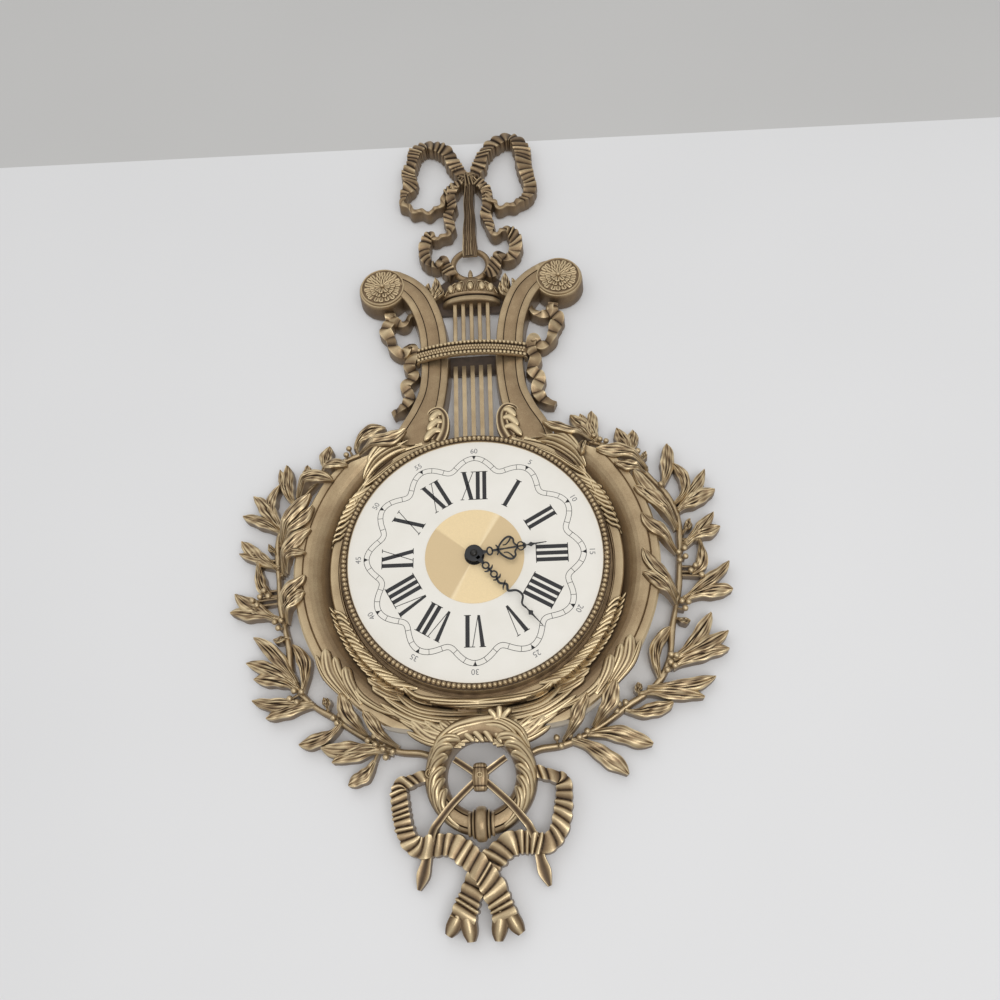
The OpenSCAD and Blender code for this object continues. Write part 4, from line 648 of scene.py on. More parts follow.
leavesRight = [[102, 109, 60, 119, 3, 9, 1], [104, 106, 84, 133, -2, 11], [105, 106, 93, 134, 0, 10], [107, 105, 103, 136, 2, 11],
    [97, 103, 90, 86, -1, 6, 1], [132, 93, 123, 118, -1, 10], [134, 93, 137, 115, 0, 11], [140, 86, 146, 94, 0, 5],
    [146, 78, 103, 90, -3, 11, 1], [144, 74, 117, 77, 2, 9, 1], [157, 62, 164, 100, -2, 12], [165, 45, 167, 81, -10, 9],
    [167, 40, 193, 74, -2, 9], [167, 38, 199, 55, 2, 12], [165, 25, 132, 68, 2, 11, 1], [164, 22, 131, 54, -3, 11, 1],
    [162, 2, 135, 30, 2, 11, 1], [169, 10, 195, 35, -2, 9], [170, 8, 199, 22, 3, 12], [169, 18, 176, 30, 0, 6],
    [181, 12, 172, -18, 5, 9], [163, -37, 202, -8, -2, 10], [164, -39, 202, -32, 4, 12], [159, -35, 133, 0, 2, 10, 1],
    [157, -42, 131, -20, -2, 10, 1], [156, -53, 166, -56, 0, 6], [150, -84, 183, -50, -4, 11], [150, -86, 194, -65, -2, 11],
    [149, -92, 193, -79, 4, 12], [138, -100, 150, -60, 7, 10], [128, -106, 180, -100, -3, 10], [122, -111, 170, -115, 3, 11],
    [110, -122, 146, -118, -4, 11], [121, -111, 121, -102, 0, 6], [85, -134, 103, -103, -2, 12, 1],
    [62, -142, 81, -112, -2, 10, 1], [80, -139, 128, -148, 3, 13], [68, -143, 108, -169, 4, 13]]
berriesLeft = [(-109, 112), (-111, 106), (-150, 65), (-183, -22), (-179, -26), (-177, -19), (-174, -14), (-170, -19), (-163, -41),
    (-158, -40), (-160, -46), (-144, -97), (-138, -98), (-147, -103), (-141, -106), (-112, -119), (-107, -117), (-109, -123),
    (-85, -137), (-80, -134), (-79, -140), (-73, -144), (-71, -150), (-66, -146)]
berriesRight = [(103, 111), (108, 107), (113, 105), (139, 94), (136, 91), (155, 62), (163, 1), (168, 4), (163, -6), (168, -3),
    (171, -15), (175, -11), (179, -19), (161, -40), (166, -41), (163, -46), (148, -82), (152, -83), (147, -88), (150, -91),
    (144, -94), (105, -118), (110, -117), (103, -123), (67, -139), (74, -141), (80, -137), (57, -141), (60, -147)]
laurelStem = [[36, -151], [45, -147.5], [62, -145.5], [80, -138.5], [97, -129], [112, -118.5], [127, -110], [140, -98],
    [148.5, -80], [151.5, -62], [156, -45], [161, -25], [163.5, -5], [166, 15], [166.5, 33], [160, 53], [150, 67], [140.5, 79.5],
    [130, 90.5], [115, 101.5], [100, 107.5], [85, 113.5], [70, 117]]


def nearestOn(path, point):
    best = None
    for a, b in zip(path, path[1:]):
        dx, dy = b[0] - a[0], b[1] - a[1]
        t = min(1, max(0, ((point[0] - a[0]) * dx + (point[1] - a[1]) * dy) / (dx * dx + dy * dy)))
        at = (a[0] + dx * t, a[1] + dy * t)
        gap = math.hypot(at[0] - point[0], at[1] - point[1])
        if best is None or gap < best[0]:
            best = (gap, at)
    return best


def stick(relief, rows):  # twig with a round top, rows are [x, y, width, top]
    path = smoothRows(rows, 5)

    def section(i):
        _, _, w, top = path[i]
        return mirrored([(w / 2 + 0.5, wallGap, 0.15), (w / 2, top - w * 0.35, 0.35), (w * 0.3, top - 0.4, 0.6)],
            [(0, top, 0.75)])

    sweep(relief, path, section)


def laurel(side, leaves, berries):
    look = laurelLook
    relief = Relief()
    stem = flipped(laurelStem, side)
    stick(relief, [[x, y, look["stemWidth"] + 0.7 * math.sin(3 * i), look["stemTop"]] for i, (x, y) in enumerate(stem)])
    for k, (bx, by, tx, ty, bow, width, *over) in enumerate(leaves):
        low = (3 + 0.05 * (k % 9), look["rest"] - 0.5) if over else (wallGap, wallGap)
        high = (look["leafTop"] - 1, look["rest"] + 3.5) if over else (look["leafTop"] - 1, look["leafTop"] - 2)
        leaf(relief, (bx, by), (tx, ty), bow, width, low, high, 0.3 if over else 1, k)
        gap, at = nearestOn(stem, (bx, by))
        if gap > 1.5:
            stick(relief, [[*at, look["stalkWidth"], look["stalkTop"]], [bx, by, look["stalkWidth"], look["leafTop"] - 2]])
    for k, (x, y) in enumerate(berries):
        gap, at = nearestOn(stem, (x, y))
        if gap > 2:
            stick(relief, [[*at, look["berryStalk"], look["stalkTop"]], [x, y, look["berryStalk"], look["leafTop"] - 2]])
        relief.ball((x, y, look["leafTop"] + 0.3 * math.sin(k)), look["berry"], 0.85, around=14, levels=9)
    relief.buildSide("laurel", "laurel", side)


laurel(-1, leavesLeft, berriesLeft)
laurel(1, leavesRight, berriesRight)
print("laurel sprays made")

# crossband: two rows of beads with a twisted row between them, over both arms
bandLook = {"middle": 198.75, "wide": 7.25, "half": 49.8, "span": 46.0, "leg": 9.0, "bow": 8.5, "seat": 16.7, "thick": 2.5,
    "fall": 0.28, "legFrom": 47.1, "bead": 1.75, "pitch": 3.5, "beadAt": 5.4, "seed": 1.15, "seedPitch": 2.5, "seedAt": 1.3}


def crossband():
    look = bandLook
    relief = Relief()
    ends = (47, 47.2, 48.5, 49.5, look["half"])
    middle = [look["span"] * k / 24 for k in range(-24, 25)]
    path = [[x, look["middle"]] for x in [-x for x in reversed(ends)] + middle + list(ends)]

    def arch(x):
        return look["seat"] + look["bow"] * (1 - min(1, abs(x) / look["span"]) ** 2)

    def over(x):
        far = max(0, abs(x) - look["span"])
        return arch(x) + look["thick"] - look["fall"] * far * far

    def section(i):
        x = path[i][0]
        low = look["leg"] if abs(x) > look["legFrom"] else arch(x)
        top, w = over(x), look["wide"]
        half = [(w, low, 0.2), (w, top - 0.2, 0.5), (w - 0.3, top + 0.3, 0.65), (w - 0.7, top + 0.3, 0.6),
            (w - 1, top - 0.3, 0.2), (2.8, top - 0.4, 0.2), (2.6, top, 0.35)]
        return mirrored(half)

    sweep(relief, path, section)
    count = int(2 * look["half"] / look["pitch"])
    for side in (-1, 1):
        for k in range(count):
            x = (k - (count - 1) / 2) * look["pitch"]
            relief.ball((x, look["middle"] + side * look["beadAt"], over(x) + 0.3), look["bead"], 0.9, around=12, levels=8)
        for k in range(int(2 * look["half"] / look["seedPitch"])):
            x = -look["half"] + 1.2 + (k + 0.25 * side) * look["seedPitch"]
            relief.ball((x, look["middle"] + side * look["seedAt"], over(x) + 0.1), look["seed"], squash=0.8, tall=1.25)
    relief.build("crossBand", gold, "crossband")


# crown: a half dome with a plain cornice and five framed bosses
crownLook = {"rows": [[258, 23.5, 10.6, 0.3], [258.6, 24.6, 12.0, 0.5], [259.6, 25.2, 12.9, 0.62], [262.8, 25.2, 12.9, 0.66],
    [263.6, 24.6, 12.3, 0.5], [264.2, 23, 10.8, 0.0], [265.4, 23, 10.8, 0.0], [266.2, 25, 12.2, 0.4], [267.6, 25.6, 12.8, 0.62],
    [268.8, 25.4, 12.6, 0.5], [270, 25.4, 13.0, 0.52], [273, 25.2, 13.2, 0.52], [276, 23.6, 12.9, 0.56], [279, 21.6, 12.4, 0.52],
    [281.6, 18.4, 11.7, 0.58], [283.6, 14.8, 10.9, 0.6], [285, 11, 10.2, 0.4], [286, 8, 9.8, 0.4]],
    "bosses": (32, 61, 90, 119, 148), "boss": 3.1, "bossAt": 273.2, "tall": 1.5, "spread": 1.08, "spine": (24.0, 12.5),
    "spineFrom": 268.0, "spineRun": 16.0, "hoopFoot": 268.6, "hoopTall": 11.5, "hoopHalf": 4.3, "hoopWide": 1.5}


def crownCap():
    look = crownLook
    relief = Relief()
    rows = look["rows"]

    def arc(i):
        _, wide, high, tone = rows[i]
        return [(look["spread"] * wide * c, plateFront + high * s, tone) for c, s in circle(64)[:33]]

    sweep(relief, [[0, row[0]] for row in rows], arc)

    def domeAt(x, y):
        below = max([row for row in rows if row[0] <= y], key=lambda row: row[0])
        above = min([row for row in rows if row[0] >= y], key=lambda row: row[0])
        t = (y - below[0]) / (above[0] - below[0]) if above[0] > below[0] else 0
        wide, high = look["spread"] * lerp(below[1], above[1], t), lerp(below[2], above[2], t)
        return plateFront + high * math.sqrt(max(0.02, 1 - (x / wide) ** 2))

    for degrees in look["bosses"]:
        lean = math.cos(math.radians(degrees))

        def spine(y):
            return look["spread"] * lerp(*look["spine"], (y - look["spineFrom"]) / look["spineRun"]) * lean

        y = look["bossAt"]
        relief.ball((spine(y), y, domeAt(spine(y), y) + 0.2), look["boss"], 0.95, around=14, levels=9, squash=0.9,
            tall=look["tall"])
        hoop = []
        for k in range(17):
            a = math.pi * k / 16
            up = look["hoopFoot"] + look["hoopTall"] * math.sin(a) ** 0.9
            x = spine(up) + look["hoopHalf"] * math.cos(a) * (0.45 + 0.55 * abs(math.sin(math.radians(degrees))))
            hoop.append([x, up, look["hoopWide"], domeAt(x, up) - 1, domeAt(x, up) + 1.1])
        fluted(relief, hoop, flutes=0.4, depth=0.4, crown=0.5, steps=2, tone=0.5)
    relief.build("crownCap", gold, "crown_cap")


crossband()
crownCap()
print("crossband and crown made")

# knot, and the folded drape that falls from it to the ring
knotFolds = [[[-9, 403, 8, 3, 12], [-4, 406, 10, 3, 16], [2, 410, 10, 3, 17.5], [8, 414, 8, 3, 14]],
    [[9, 402, 8, 3, 12], [3, 406, 9, 3, 16.5], [-3, 411, 10, 3, 17], [-9, 416, 8, 3, 13]],
    [[1, 398, 11, 3, 16], [0, 404, 9, 3, 18], [-1, 410, 8, 3, 18.4], [-1, 415, 10, 3, 15]]]
drapeRows = [[0, 403, 8, wallGap, 15], [0.6, 392, 8.6, wallGap, 15.6], [-0.4, 376, 9.4, wallGap, 15.6],
    [0.5, 358, 10.4, wallGap, 16], [-0.3, 342, 11.6, wallGap, 16], [0, 330, 12.8, wallGap, 16], [0, 326.5, 13.2, 9.4, 16],
    [0, 320, 13.6, 10.2, 15.8], [0, 312, 13, 10.4, 14.4]]
drapeLook = {"steps": 12, "across": 40, "folds": (0.9, 2.6), "depth": 1.5, "crease": 0.22, "sway": 0.5, "dark": 0.20,
    "pale": 0.74, "paintedHighlightFrom": 350.0}


def drapePiece():
    look = drapeLook
    relief = Relief()
    path = smoothRows(drapeRows, look["steps"])
    marks = [mark - 7 for mark in creases(16, look["folds"], 5)]

    def section(i):
        _, y, w, foot, top = path[i]
        # lit paints a highlight on the lower end of the drape, where it nears the ring
        lit = min(1, max(0, (look["paintedHighlightFrom"] - y) / 16))
        out = []
        for u in edgeToEdge(look["across"]):
            n, part, near = pleatAt(marks, 7 * u + look["sway"] * math.sin(i / 11 + 2 * u))
            face = hashed(n, 8)
            h = top - 1.2 * u * u + look["depth"] * (face - 0.5) + 0.8 * (0.5 - abs(part - 0.5))
            bright = 0.75 * face + 0.45 * lit * part
            tone = lerp(look["dark"], look["pale"], bright) - 0.4 * math.exp(-(near / look["crease"]) ** 2)
            out.append((w / 2 * u, h, tone))
        return skirted(out, foot, (0.5, 0.1), 0.85, (0.12, 0.2))

    sweep(relief, path, section)
    relief.build("bowDrape", gold, "bow_drape")


knot = Relief()
for k, fold in enumerate(knotFolds):
    rows = [[x, y, w, foot + 0.2 * k, top] for x, y, w, foot, top in fold]
    fluted(knot, rows, flutes=1.5, phase=0.4, depth=1.6, crown=1.4, steps=10, tone=0.3)
knot.build("bowKnot", gold, "bow_knot")
drapePiece()
print("knot and drape made")

# acanthus on the band, the cove and the border
caseLook = {"border": 25.0, "coveOut": 138.1, "band": 118.5, "bandTop": 20.0, "coveFloor": 13.0}


def caseHeight(r):
    look = caseLook
    if r >= look["coveOut"]:
        return look["border"]
    if r <= look["band"]:
        return look["bandTop"]
    share = (look["coveOut"] - r) / (look["coveOut"] - look["band"])
    return look["border"] - (look["border"] - look["coveFloor"]) * (1 - (1 - share * share) ** 1.1)


def onCase(x, y):
    return caseHeight(math.hypot(x, y))


# lobes on the case, rows are (distance from the dial's axis, degrees from the top, width)
borderLeaf = [[(147.5, 137, 2.5), (147.6, 128, 5), (144.5, 120.5, 4)], [(145.5, 138, 3), (143.5, 128, 10), (136, 120.5, 9)],
    [(142, 137, 3), (137.5, 129.5, 7), (133, 124.5, 6.5)], [(142.5, 142, 4), (137, 134.5, 9.5), (131, 129.5, 8.5)]]
footLobes = [[(118.5, 151, 3), (121.5, 145.5, 9), (125, 137.5, 7.5)], [(123.5, 152, 3), (125.5, 147, 8.5), (127.5, 141, 7)]]
footStrands = [[(113.5, 180.5, 5), (115, 168, 6), (118, 157, 6), (115, 150, 5)],
    [(120, 180.5, 6), (122.5, 168, 7), (125, 158, 7.5), (121, 149, 6)],
    [(127, 180.5, 5), (129, 168, 6), (130.5, 158, 6.5), (129, 146.5, 5)],
    [(133.5, 180.5, 5), (135.5, 169, 6.5), (136, 158, 6.5), (134.5, 147, 5)],
    [(140.5, 180.5, 6), (142, 172, 7.5), (140.5, 163, 6), (138.5, 155, 4)],
    [(134.5, 133.5, 4), (138.6, 140, 6), (138.4, 147, 5), (136.5, 154, 3)]]
upperStrands = [[(109.4, 20, 3), (109.6, 44, 4), (110.6, 68, 3)],
    [(113.5, 17, 4), (112.8, 35, 4), (113.6, 46, 4.5), (116.5, 53, 4)],
    [(117, 22, 4), (121, 33, 6.5), (121, 44, 7), (117.5, 53, 6)], [(117, 47, 3), (116.5, 55, 5), (113.5, 62, 4.5)],
    [(125.5, 30, 4), (127.5, 35, 7), (127, 42, 7), (122.5, 50, 5)], [(132, 32, 4), (132.5, 37, 7), (128.5, 44, 6)]]
# the eyes are dark solids with no recess cut: their darkness is painted shade of deep hollows, together with the dark
# glaze such hollows hold
hollows = ((117.0, 36, 50, 2.0), (112.9, 53, 60, 1.3))  # dark eyes between the upper strands


def onBand(rows, side):
    return flipped([[*polar(r, a), w] for r, a, w in rows], side)


def feather(radii, reach, a, size, turn, broad=1.0):  # lobe that leaves the band's inner edge and bends across it
    return [(radii[0], a + turn * 11 * size, 2.5), (radii[1] + 0.5 * size, a + turn * 6 * size, 4.8 * size * broad),
        (radii[2] + size, a + turn * 2, 5 * size * broad), (radii[3] + reach * size, a - turn * 0.6 * broad, 4 * size)]


def acanthus(side):
    relief = Relief()

    def lay(rows, lift, grooves=(0.0,)):
        lobe(relief, onBand(rows, side), onCase, lift, grooves)

    for rows in footStrands:
        lay(rows, 3.4, (0.15,))
    for k in range(16):  # garland on the band, its lobes overlap like feathers and grow towards the foot
        a = 106 + 2.5 * k + 0.5 * hashed(k, 4)
        size = 0.62 + 0.03 * k
        broad = 1.5 if k % 4 == 3 else 1.0
        lay(feather((111.5, 114.5, 118.5, 119.6), 3.8, a, size, 1, broad), 2.6 + 1.6 * size, (0.2,) if broad > 1 else ())
    for rows in footLobes:
        lay(rows, 4.2, (-0.3, 0.3))
    for n, shift in enumerate((38, 0)):  # a leaf on the border at each end of the run, the plain lip between them
        for k, rows in enumerate(borderLeaf):
            lay([(r, a + shift, w) for r, a, w in rows], 3.4 + 0.5 * (k % 2) + 0.2 * n,
                (-0.35, 0.3) if rows[1][2] > 8 else (0.1,))
    for rows in upperStrands:
        lay(rows, 3.0, (0.1,))
    for r, start, end, wide in hollows:
        eye = [polar(r + wide * s, lerp(start, end, 0.5 - 0.5 * c)) for c, s in circle(24)]
        relief.prism(flipped(eye, side), 17.0, 20.3, 0.0)
    for k in range(9):  # upper run, tips towards the foot
        a = 60 + 2.6 * k + 0.5 * hashed(k, 5)
        size = 0.95 - 0.05 * k
        lay(feather((111, 113.5, 117, 118), 3.4, a, size, -1), 3.4, ())
    relief.buildSide("acanthus", "acanthus", side)


# curled rim at each arm's inner foot, with three lobes beside it
scrollLook = {"floor": 20.4, "rows": [[38, 134, 4, 16, 20], [36, 138.5, 6, 16, 21], [30, 139.5, 7.5, 16, 22.5],
    [25.8, 134, 8.5, 16, 23], [25.2, 126, 9.5, 16, 23], [27, 118, 11, 16, 22.5], [31, 110, 12, 16, 22]],
    "curls": [[(25, 136, 3), (31, 136, 7), (37, 129, 6)], [(25, 128, 3), (32, 128.5, 7.5), (39, 120, 6)],
    [(26, 119, 3), (34, 119.5, 7.5), (41.5, 110, 6)]]}


def armScroll(side):
    look = scrollLook
    relief = Relief()
    fluted(relief, flipped(look["rows"], side), depth=1.3, crown=1.2, tone=0.6)
    for rows in look["curls"]:
        lobe(relief, flipped(rows, side), lambda x, y: look["floor"], 3.4, ())
    relief.buildSide("armScroll", "arm_scroll", side)


for side in (-1, 1):
    acanthus(side)
    armScroll(side)
print("acanthus made")

# pendant: ring dressed with leaves, knop, crossed stems with a boss
pendantLook = {"y": -166.0, "ring": 33.75, "tube": 8.0, "top": 16.8, "over": 31.0, "stemFoot": 17.0, "sink": 2.5, "teeth": 27.5,
    "tuft": 28.5, "curlAt": (-37.0, -164.0), "curl": 4.2, "curlStep": 0.8}


def ringTop(degrees):  # the ring climbs over the case's edge at its top
    t = min(1, max(0, (80 - abs(degrees)) / 32))
    return lerp(pendantLook["top"], pendantLook["over"], t * t * (3 - 2 * t))


def onRing(x, y):
    up = y - pendantLook["y"]
    across = math.hypot(x, up) - pendantLook["ring"]
    return ringTop(math.degrees(math.atan2(x, up))) - min(5, 0.07 * across * across) - 0.8


def onWreath(r, degrees):
    x, y = polar(r, degrees)
    return (x, y + pendantLook["y"])


# leaf over the ring's top: long strands, teeth below them and a tuft, rows are [x, y, width]
topStrands = [[(18, -123, 5), (11, -128, 7), (-3, -130, 8), (-18, -134, 7), (-29, -143, 5.5), (-36, -155, 4)],
    [(4, -133.5, 4), (-8, -135, 6), (-19, -139.5, 6.5), (-27, -147, 5), (-31, -155, 4)],
    [(-8, -134.5, 4), (4, -132, 6.5), (15, -132.5, 7), (24, -138, 6.5), (30, -147, 4.5)],
    [(12, -127, 4), (22, -131, 6), (31, -138, 6), (37, -149, 4)]]
topTeeth = [[(-13, -136, 3), (-9, -138.5, 5), (-3, -144, 4)], [(-8, -134.5, 3), (-2, -137.5, 5), (4, -144.5, 4)],
    [(-1, -133.5, 3), (5, -137, 5), (10.5, -145, 4)], [(6, -133, 3), (12, -137, 5), (17, -146, 4)],
    [(13, -134, 3), (19, -138.5, 5), (23, -148, 4)]]
topTuft = [[(13, -129, 4), (11.5, -125, 5), (8, -121.5, 4)], [(15, -129, 4), (16, -124, 5.5), (16, -119, 4.5)],
    [(17, -129, 4), (20.5, -125, 5), (24.5, -121.5, 4)]]
# lobe on the ring, from its outer edge to its inner, rows are (distance, degrees, width)
ringLobe = [(40, 48, 3), (38.4, 31, 6), (35, 15, 7.4), (30, 4, 6.6), (26.4, -1, 5)]


def pendantWreath():
    look = pendantLook
    relief = Relief()
    rows = []
    for a in range(-180, 180, 5):
        top, r = ringTop(a), look["tube"]
        plain = min(1, max(0, (abs(a) - 105) / 20))
        half = [(r, wallGap, 0.15), (r, top - 5.5, 0.3), (0.86 * r, top - 2.8, 0.4), (0.74 * r, top - 1.7, 0.5),
            (0.58 * r, top - 0.9, 0.6), (0.5 * r, top - 0.6 - 0.9 * plain, 0.5 - 0.5 * plain),
            (0.42 * r, top - 0.4, 0.6), (0.15 * r, top, 0.66)]
        rows.append([(*onWreath(look["ring"] + across, a), h, c) for across, h, c in mirrored(half)])
    relief.grid(rows, ring=True)
    for side in (-1, 1):
        for a in (110, 94, 78, 62, 46, 31):  # lobes climb each side of the ring and curl in
            lobe(relief, flipped([[*onWreath(r, a + turn), w] for r, turn, w in ringLobe], side), onRing, 4.0, (0.1,))
    for rows in topStrands:
        lobe(relief, rows, lambda x, y: ringTop(math.degrees(math.atan2(x, y - look["y"]))) - look["sink"], 3.8, (0.1,))
    for rows in topTeeth:
        lobe(relief, rows, lambda x, y: look["teeth"], 3.2, ())
    for rows in topTuft:
        lobe(relief, rows, lambda x, y: look["tuft"], 3.6, ())
    curl = []
    for k in range(12):  # small curl at the ring's left
        r, a = look["curl"] - 0.3 * k, look["curlStep"] * k
        curl.append([look["curlAt"][0] + r * math.cos(a), look["curlAt"][1] + r * math.sin(a), 2.2, 12, 18.4])
    fluted(relief, curl, flutes=0.5, depth=1.2, crown=0.3, steps=3, tone=0.64, across=8)
    relief.build("pendantWreath", gold, "pendant_wreath")


def pendantKnop():
    half = [(-9.5, 8.4, 0.3), (-8.4, 8.8, 0.6), (-7.4, 8.4, 0.3), (-7.1, 7.5, 0.0), (-6.7, 7.6, 0.0), (-6.3, 9.6, 0.5),
        (-5.4, 10.4, 0.7), (-4.7, 9.9, 0.2), (-4.4, 9.6, 0.0),
        (-4.0, 10.8, 0.4), (-2.8, 12.0, 0.6), (-1.2, 12.45, 0.66), (0, 12.5, 0.68)]
    relief = Relief()
    lathe(relief, (0, pendantLook["y"] - pendantLook["ring"], 13.3), "x", mirrored(half[:-1], half[-1:]))
    relief.build("pendantKnop", gold, "pendant_knop")


def crossedStems():
    look = pendantLook
    relief = Relief()
    foot = look["stemFoot"]
    rows = [[-19, -154.5, 4.2, foot, foot + 3], [-8, -162, 4.4, foot, foot + 3.4], [4, -171, 4.6, foot, foot + 3.4],
        [20, -185.5, 4.8, foot, foot + 3.4], [30, -197, 5.2, foot, foot + 3],
        [34.5, -203, 5.4, 6, foot + 2], [39, -214, 6, wallGap, 11], [41, -224, 7, wallGap, 9.5], [43.5, -233, 9, wallGap, 9],
        [46.5, -242, 2.4, wallGap, 6.5]]
    for side in (-1, 1):
        fluted(relief, flipped(rows, side), flutes=0.5, phase=math.pi, depth=0.9, crown=0.2, tone=0.5)
    barrel = mirrored([(-10, 3.4, 0.2), (-9.4, 4.4, 0.5), (-7.4, 5.2, 0.6), (-6.4, 5.0, 0.1), (-5.6, 5.6, 0.5)], [(0, 6.2, 0.62)])
    lathe(relief, (0, look["y"] - 2, 18.5), "y", barrel, streak=0.045, streaks=12)
    for k in range(10):  # ring round the pin
        x, y = polar(1.7, 36 * k)
        relief.ball((x, look["y"] + y - 1, 24.8), 0.65, 0.9, around=8, levels=5)
    relief.build("crossedStems", gold, "crossed_stems")


pendantWreath()
pendantKnop()
crossedStems()
print("pendant made")

# finishes for the pieces that stay as they come from the frame
for name in ("case_body", "bezel", "strings_lower", "crown_bud", "hanging_ring"):
    nodes[name].material_slots[0].material = {"case_body": goldTurned, "strings_lower": goldString}.get(name, goldPlain)

# upper strings, seen from the crossband up
stringLook = {"count": 5, "pitch": 7.6, "width": 3.6, "low": 206.0, "high": 258.9, "front": 10.8}
strings = Relief()
for k in range(stringLook["count"]):
    x = (k - (stringLook["count"] - 1) / 2) * stringLook["pitch"]
    half = stringLook["width"] / 2
    front = stringLook["front"]
    edge = [(half, plateFront, 0.5), (half, front - 0.4, 0.5), (half - 0.4, front, 0.5)]
    strings.grid([[(x + a, y, h, c) for a, h, c in mirrored(edge)] for y in (stringLook["low"], stringLook["high"])])
strings.build("upperStrings", goldString, "strings_upper")


# dial
def creamFinish():
    f = Finish("creamDial", Specular_IOR_Level=0.35)
    mottle = f.grain(40, 2)
    f.set(Base_Color=f.mix(mottle.spread(0.3, 0.7), (0.80, 0.77, 0.70), (0.84, 0.81, 0.745)),
        Roughness=mottle.spread(0.3, 0.7, 0.42, 0.5))
    return f.material


# gilt disc: bright sectors and streaks painted as the spun finish's reflections, as turns clockwise from the top in
# radians, each with the place where it fades in and out
spunLook = {"upper": (-0.92, -0.86, 0.54, 0.60), "lower": (2.37, 2.44, -2.68, -2.62),
    "streaks": ((0.40, 0.50, 0.52, 0.58), (-2.74, -2.68, -2.66, -2.60)), "dark": (0.68, 0.52, 0.30), "light": (0.86, 0.68, 0.40),
    "streak": (0.95, 0.80, 0.55), "rub": (0.60, 0.46, 0.26), "lines": 9000, "cut": 0.00002}


def spunFinish():
    look = spunLook
    f = Finish("spunGilt", Metallic=0.35)
    x, z, r = f.aroundDial()
    turn = f.node("ShaderNodeMath", {"operation": "ARCTAN2"}, {0: x, 1: z})

    def sheenSector(a, b, c, d):
        return turn.spread(a, b) * (1 - turn.spread(c, d))

    a, b, c, d = look["lower"]
    # the bright sectors and the two narrow streaks are painted reflections of the spun metal
    light = sheenSector(*look["upper"]) + (turn.spread(a, b) + (1 - turn.spread(c, d)))
    streak = sheenSector(*look["streaks"][0]) + sheenSector(*look["streaks"][1])
    lines = f.node("ShaderNodeMath", {"operation": "SINE"}, {0: r * look["lines"]})
    rub = f.grain(900, 3)
    base = f.mix(streak * 0.5, f.mix(light, look["dark"], look["light"]), look["streak"])
    f.set(Base_Color=f.mix(rub.spread(0.3, 0.7, 0, 0.2), base, look["rub"]), Roughness=lines.spread(-1, 1, 0.42, 0.5))
    f.set(Normal=f.bump(lines, look["cut"], 0.5))
    return f.material


def plainFinish(name, colour, rough, metal=0.0, grainScale=500, spread=0.12):
    f = Finish(name, Metallic=metal)
    speck = f.grain(grainScale, 4)
    dark = tuple(c * (1 - spread) for c in colour)
    pale = tuple(min(1, c * (1 + spread)) for c in colour)
    f.set(Base_Color=f.mix(speck.spread(0.3, 0.7), dark, pale), Roughness=speck.spread(0.3, 0.7, rough - 0.06, rough + 0.06))
    f.set(Normal=f.bump(speck, 0.00005, 0.4))
    return f.material


blackPaint = plainFinish("blackHands", (0.012, 0.012, 0.013), 0.42)
plainRows = {"hand_nut": ("darkNut", (0.045, 0.043, 0.040), 0.3, 0.8), "gasket": ("blackRubber", (0.02, 0.02, 0.02), 0.75),
    "movement_front": ("mouldedBlack", (0.018, 0.018, 0.019), 0.5, 0, 1500, 0.25),
    "battery": ("cellSleeve", (0.22, 0.23, 0.25), 0.3, 0.6), "contact_plus": ("platedStrip", (0.60, 0.56, 0.44), 0.3, 1.0),
    "coil": ("copperWire", (0.45, 0.17, 0.07), 0.35, 0.9), "stator": ("zincSteel", (0.45, 0.45, 0.46), 0.34, 1.0),
    "rotor": ("magnet", (0.10, 0.10, 0.11), 0.4, 0.8), "third_wheel": ("nylon", (0.72, 0.69, 0.60), 0.5),
    "circuit_board": ("solderMask", (0.02, 0.14, 0.06), 0.35),
    "crown_plate": ("darkBack", (0.080, 0.054, 0.037), 0.6, 0.1, 200, 0.3)}
finishes = {"dial_plate": creamFinish(), "dial_centre": spunFinish(),
    **{node: plainFinish(*row) for node, row in plainRows.items()}}
sharedWith = {"hand_nut": ["hex_nut", "nut_washer", "cannon_tube"], "movement_front": ["movement_back", "setting_knob"],
    "contact_plus": ["contact_minus"], "stator": ["hanger_plate", "hanger_screws"],
    "third_wheel": ["intermediate_wheel", "seconds_wheel", "centre_wheel", "motion_wheel", "hour_wheel"],
    "crown_plate": ["string_bridge"]}
for name, material in finishes.items():
    for node in [name] + sharedWith.get(name, []):
        nodes[node].material_slots[0].material = material
print("finishes set")

# printed dial: radial numerals, scalloped minute track and minute figures
printLook = {"turn": 0.75, "low": 29.98, "high": 30.06, "foot": 49.0, "head": 74.0, "thick": 3.3, "thin": 0.6, "step": 5.4,
    "wide": 11.5, "trackLow": 78.2, "trackHigh": 88.6, "pinch": 0.22, "gap": 4.2, "line": 0.42, "mark": 1.7, "figureAt": 93.0,
    "figureSize": 6.3, "figureMid": 30.02, "figureHalf": 0.04}
hours = ("I", "II", "III", "IIII", "V", "VI", "VII", "VIII", "IX", "X", "XI", "XII")


def onDial(across, out, degrees):
    a = math.radians(degrees + printLook["turn"])
    return (out * math.sin(a) + across * math.cos(a), out * math.cos(a) - across * math.sin(a))


def ink(relief, degrees, *outline):
    relief.prism([onDial(across, out, degrees) for across, out in outline], printLook["low"], printLook["high"])


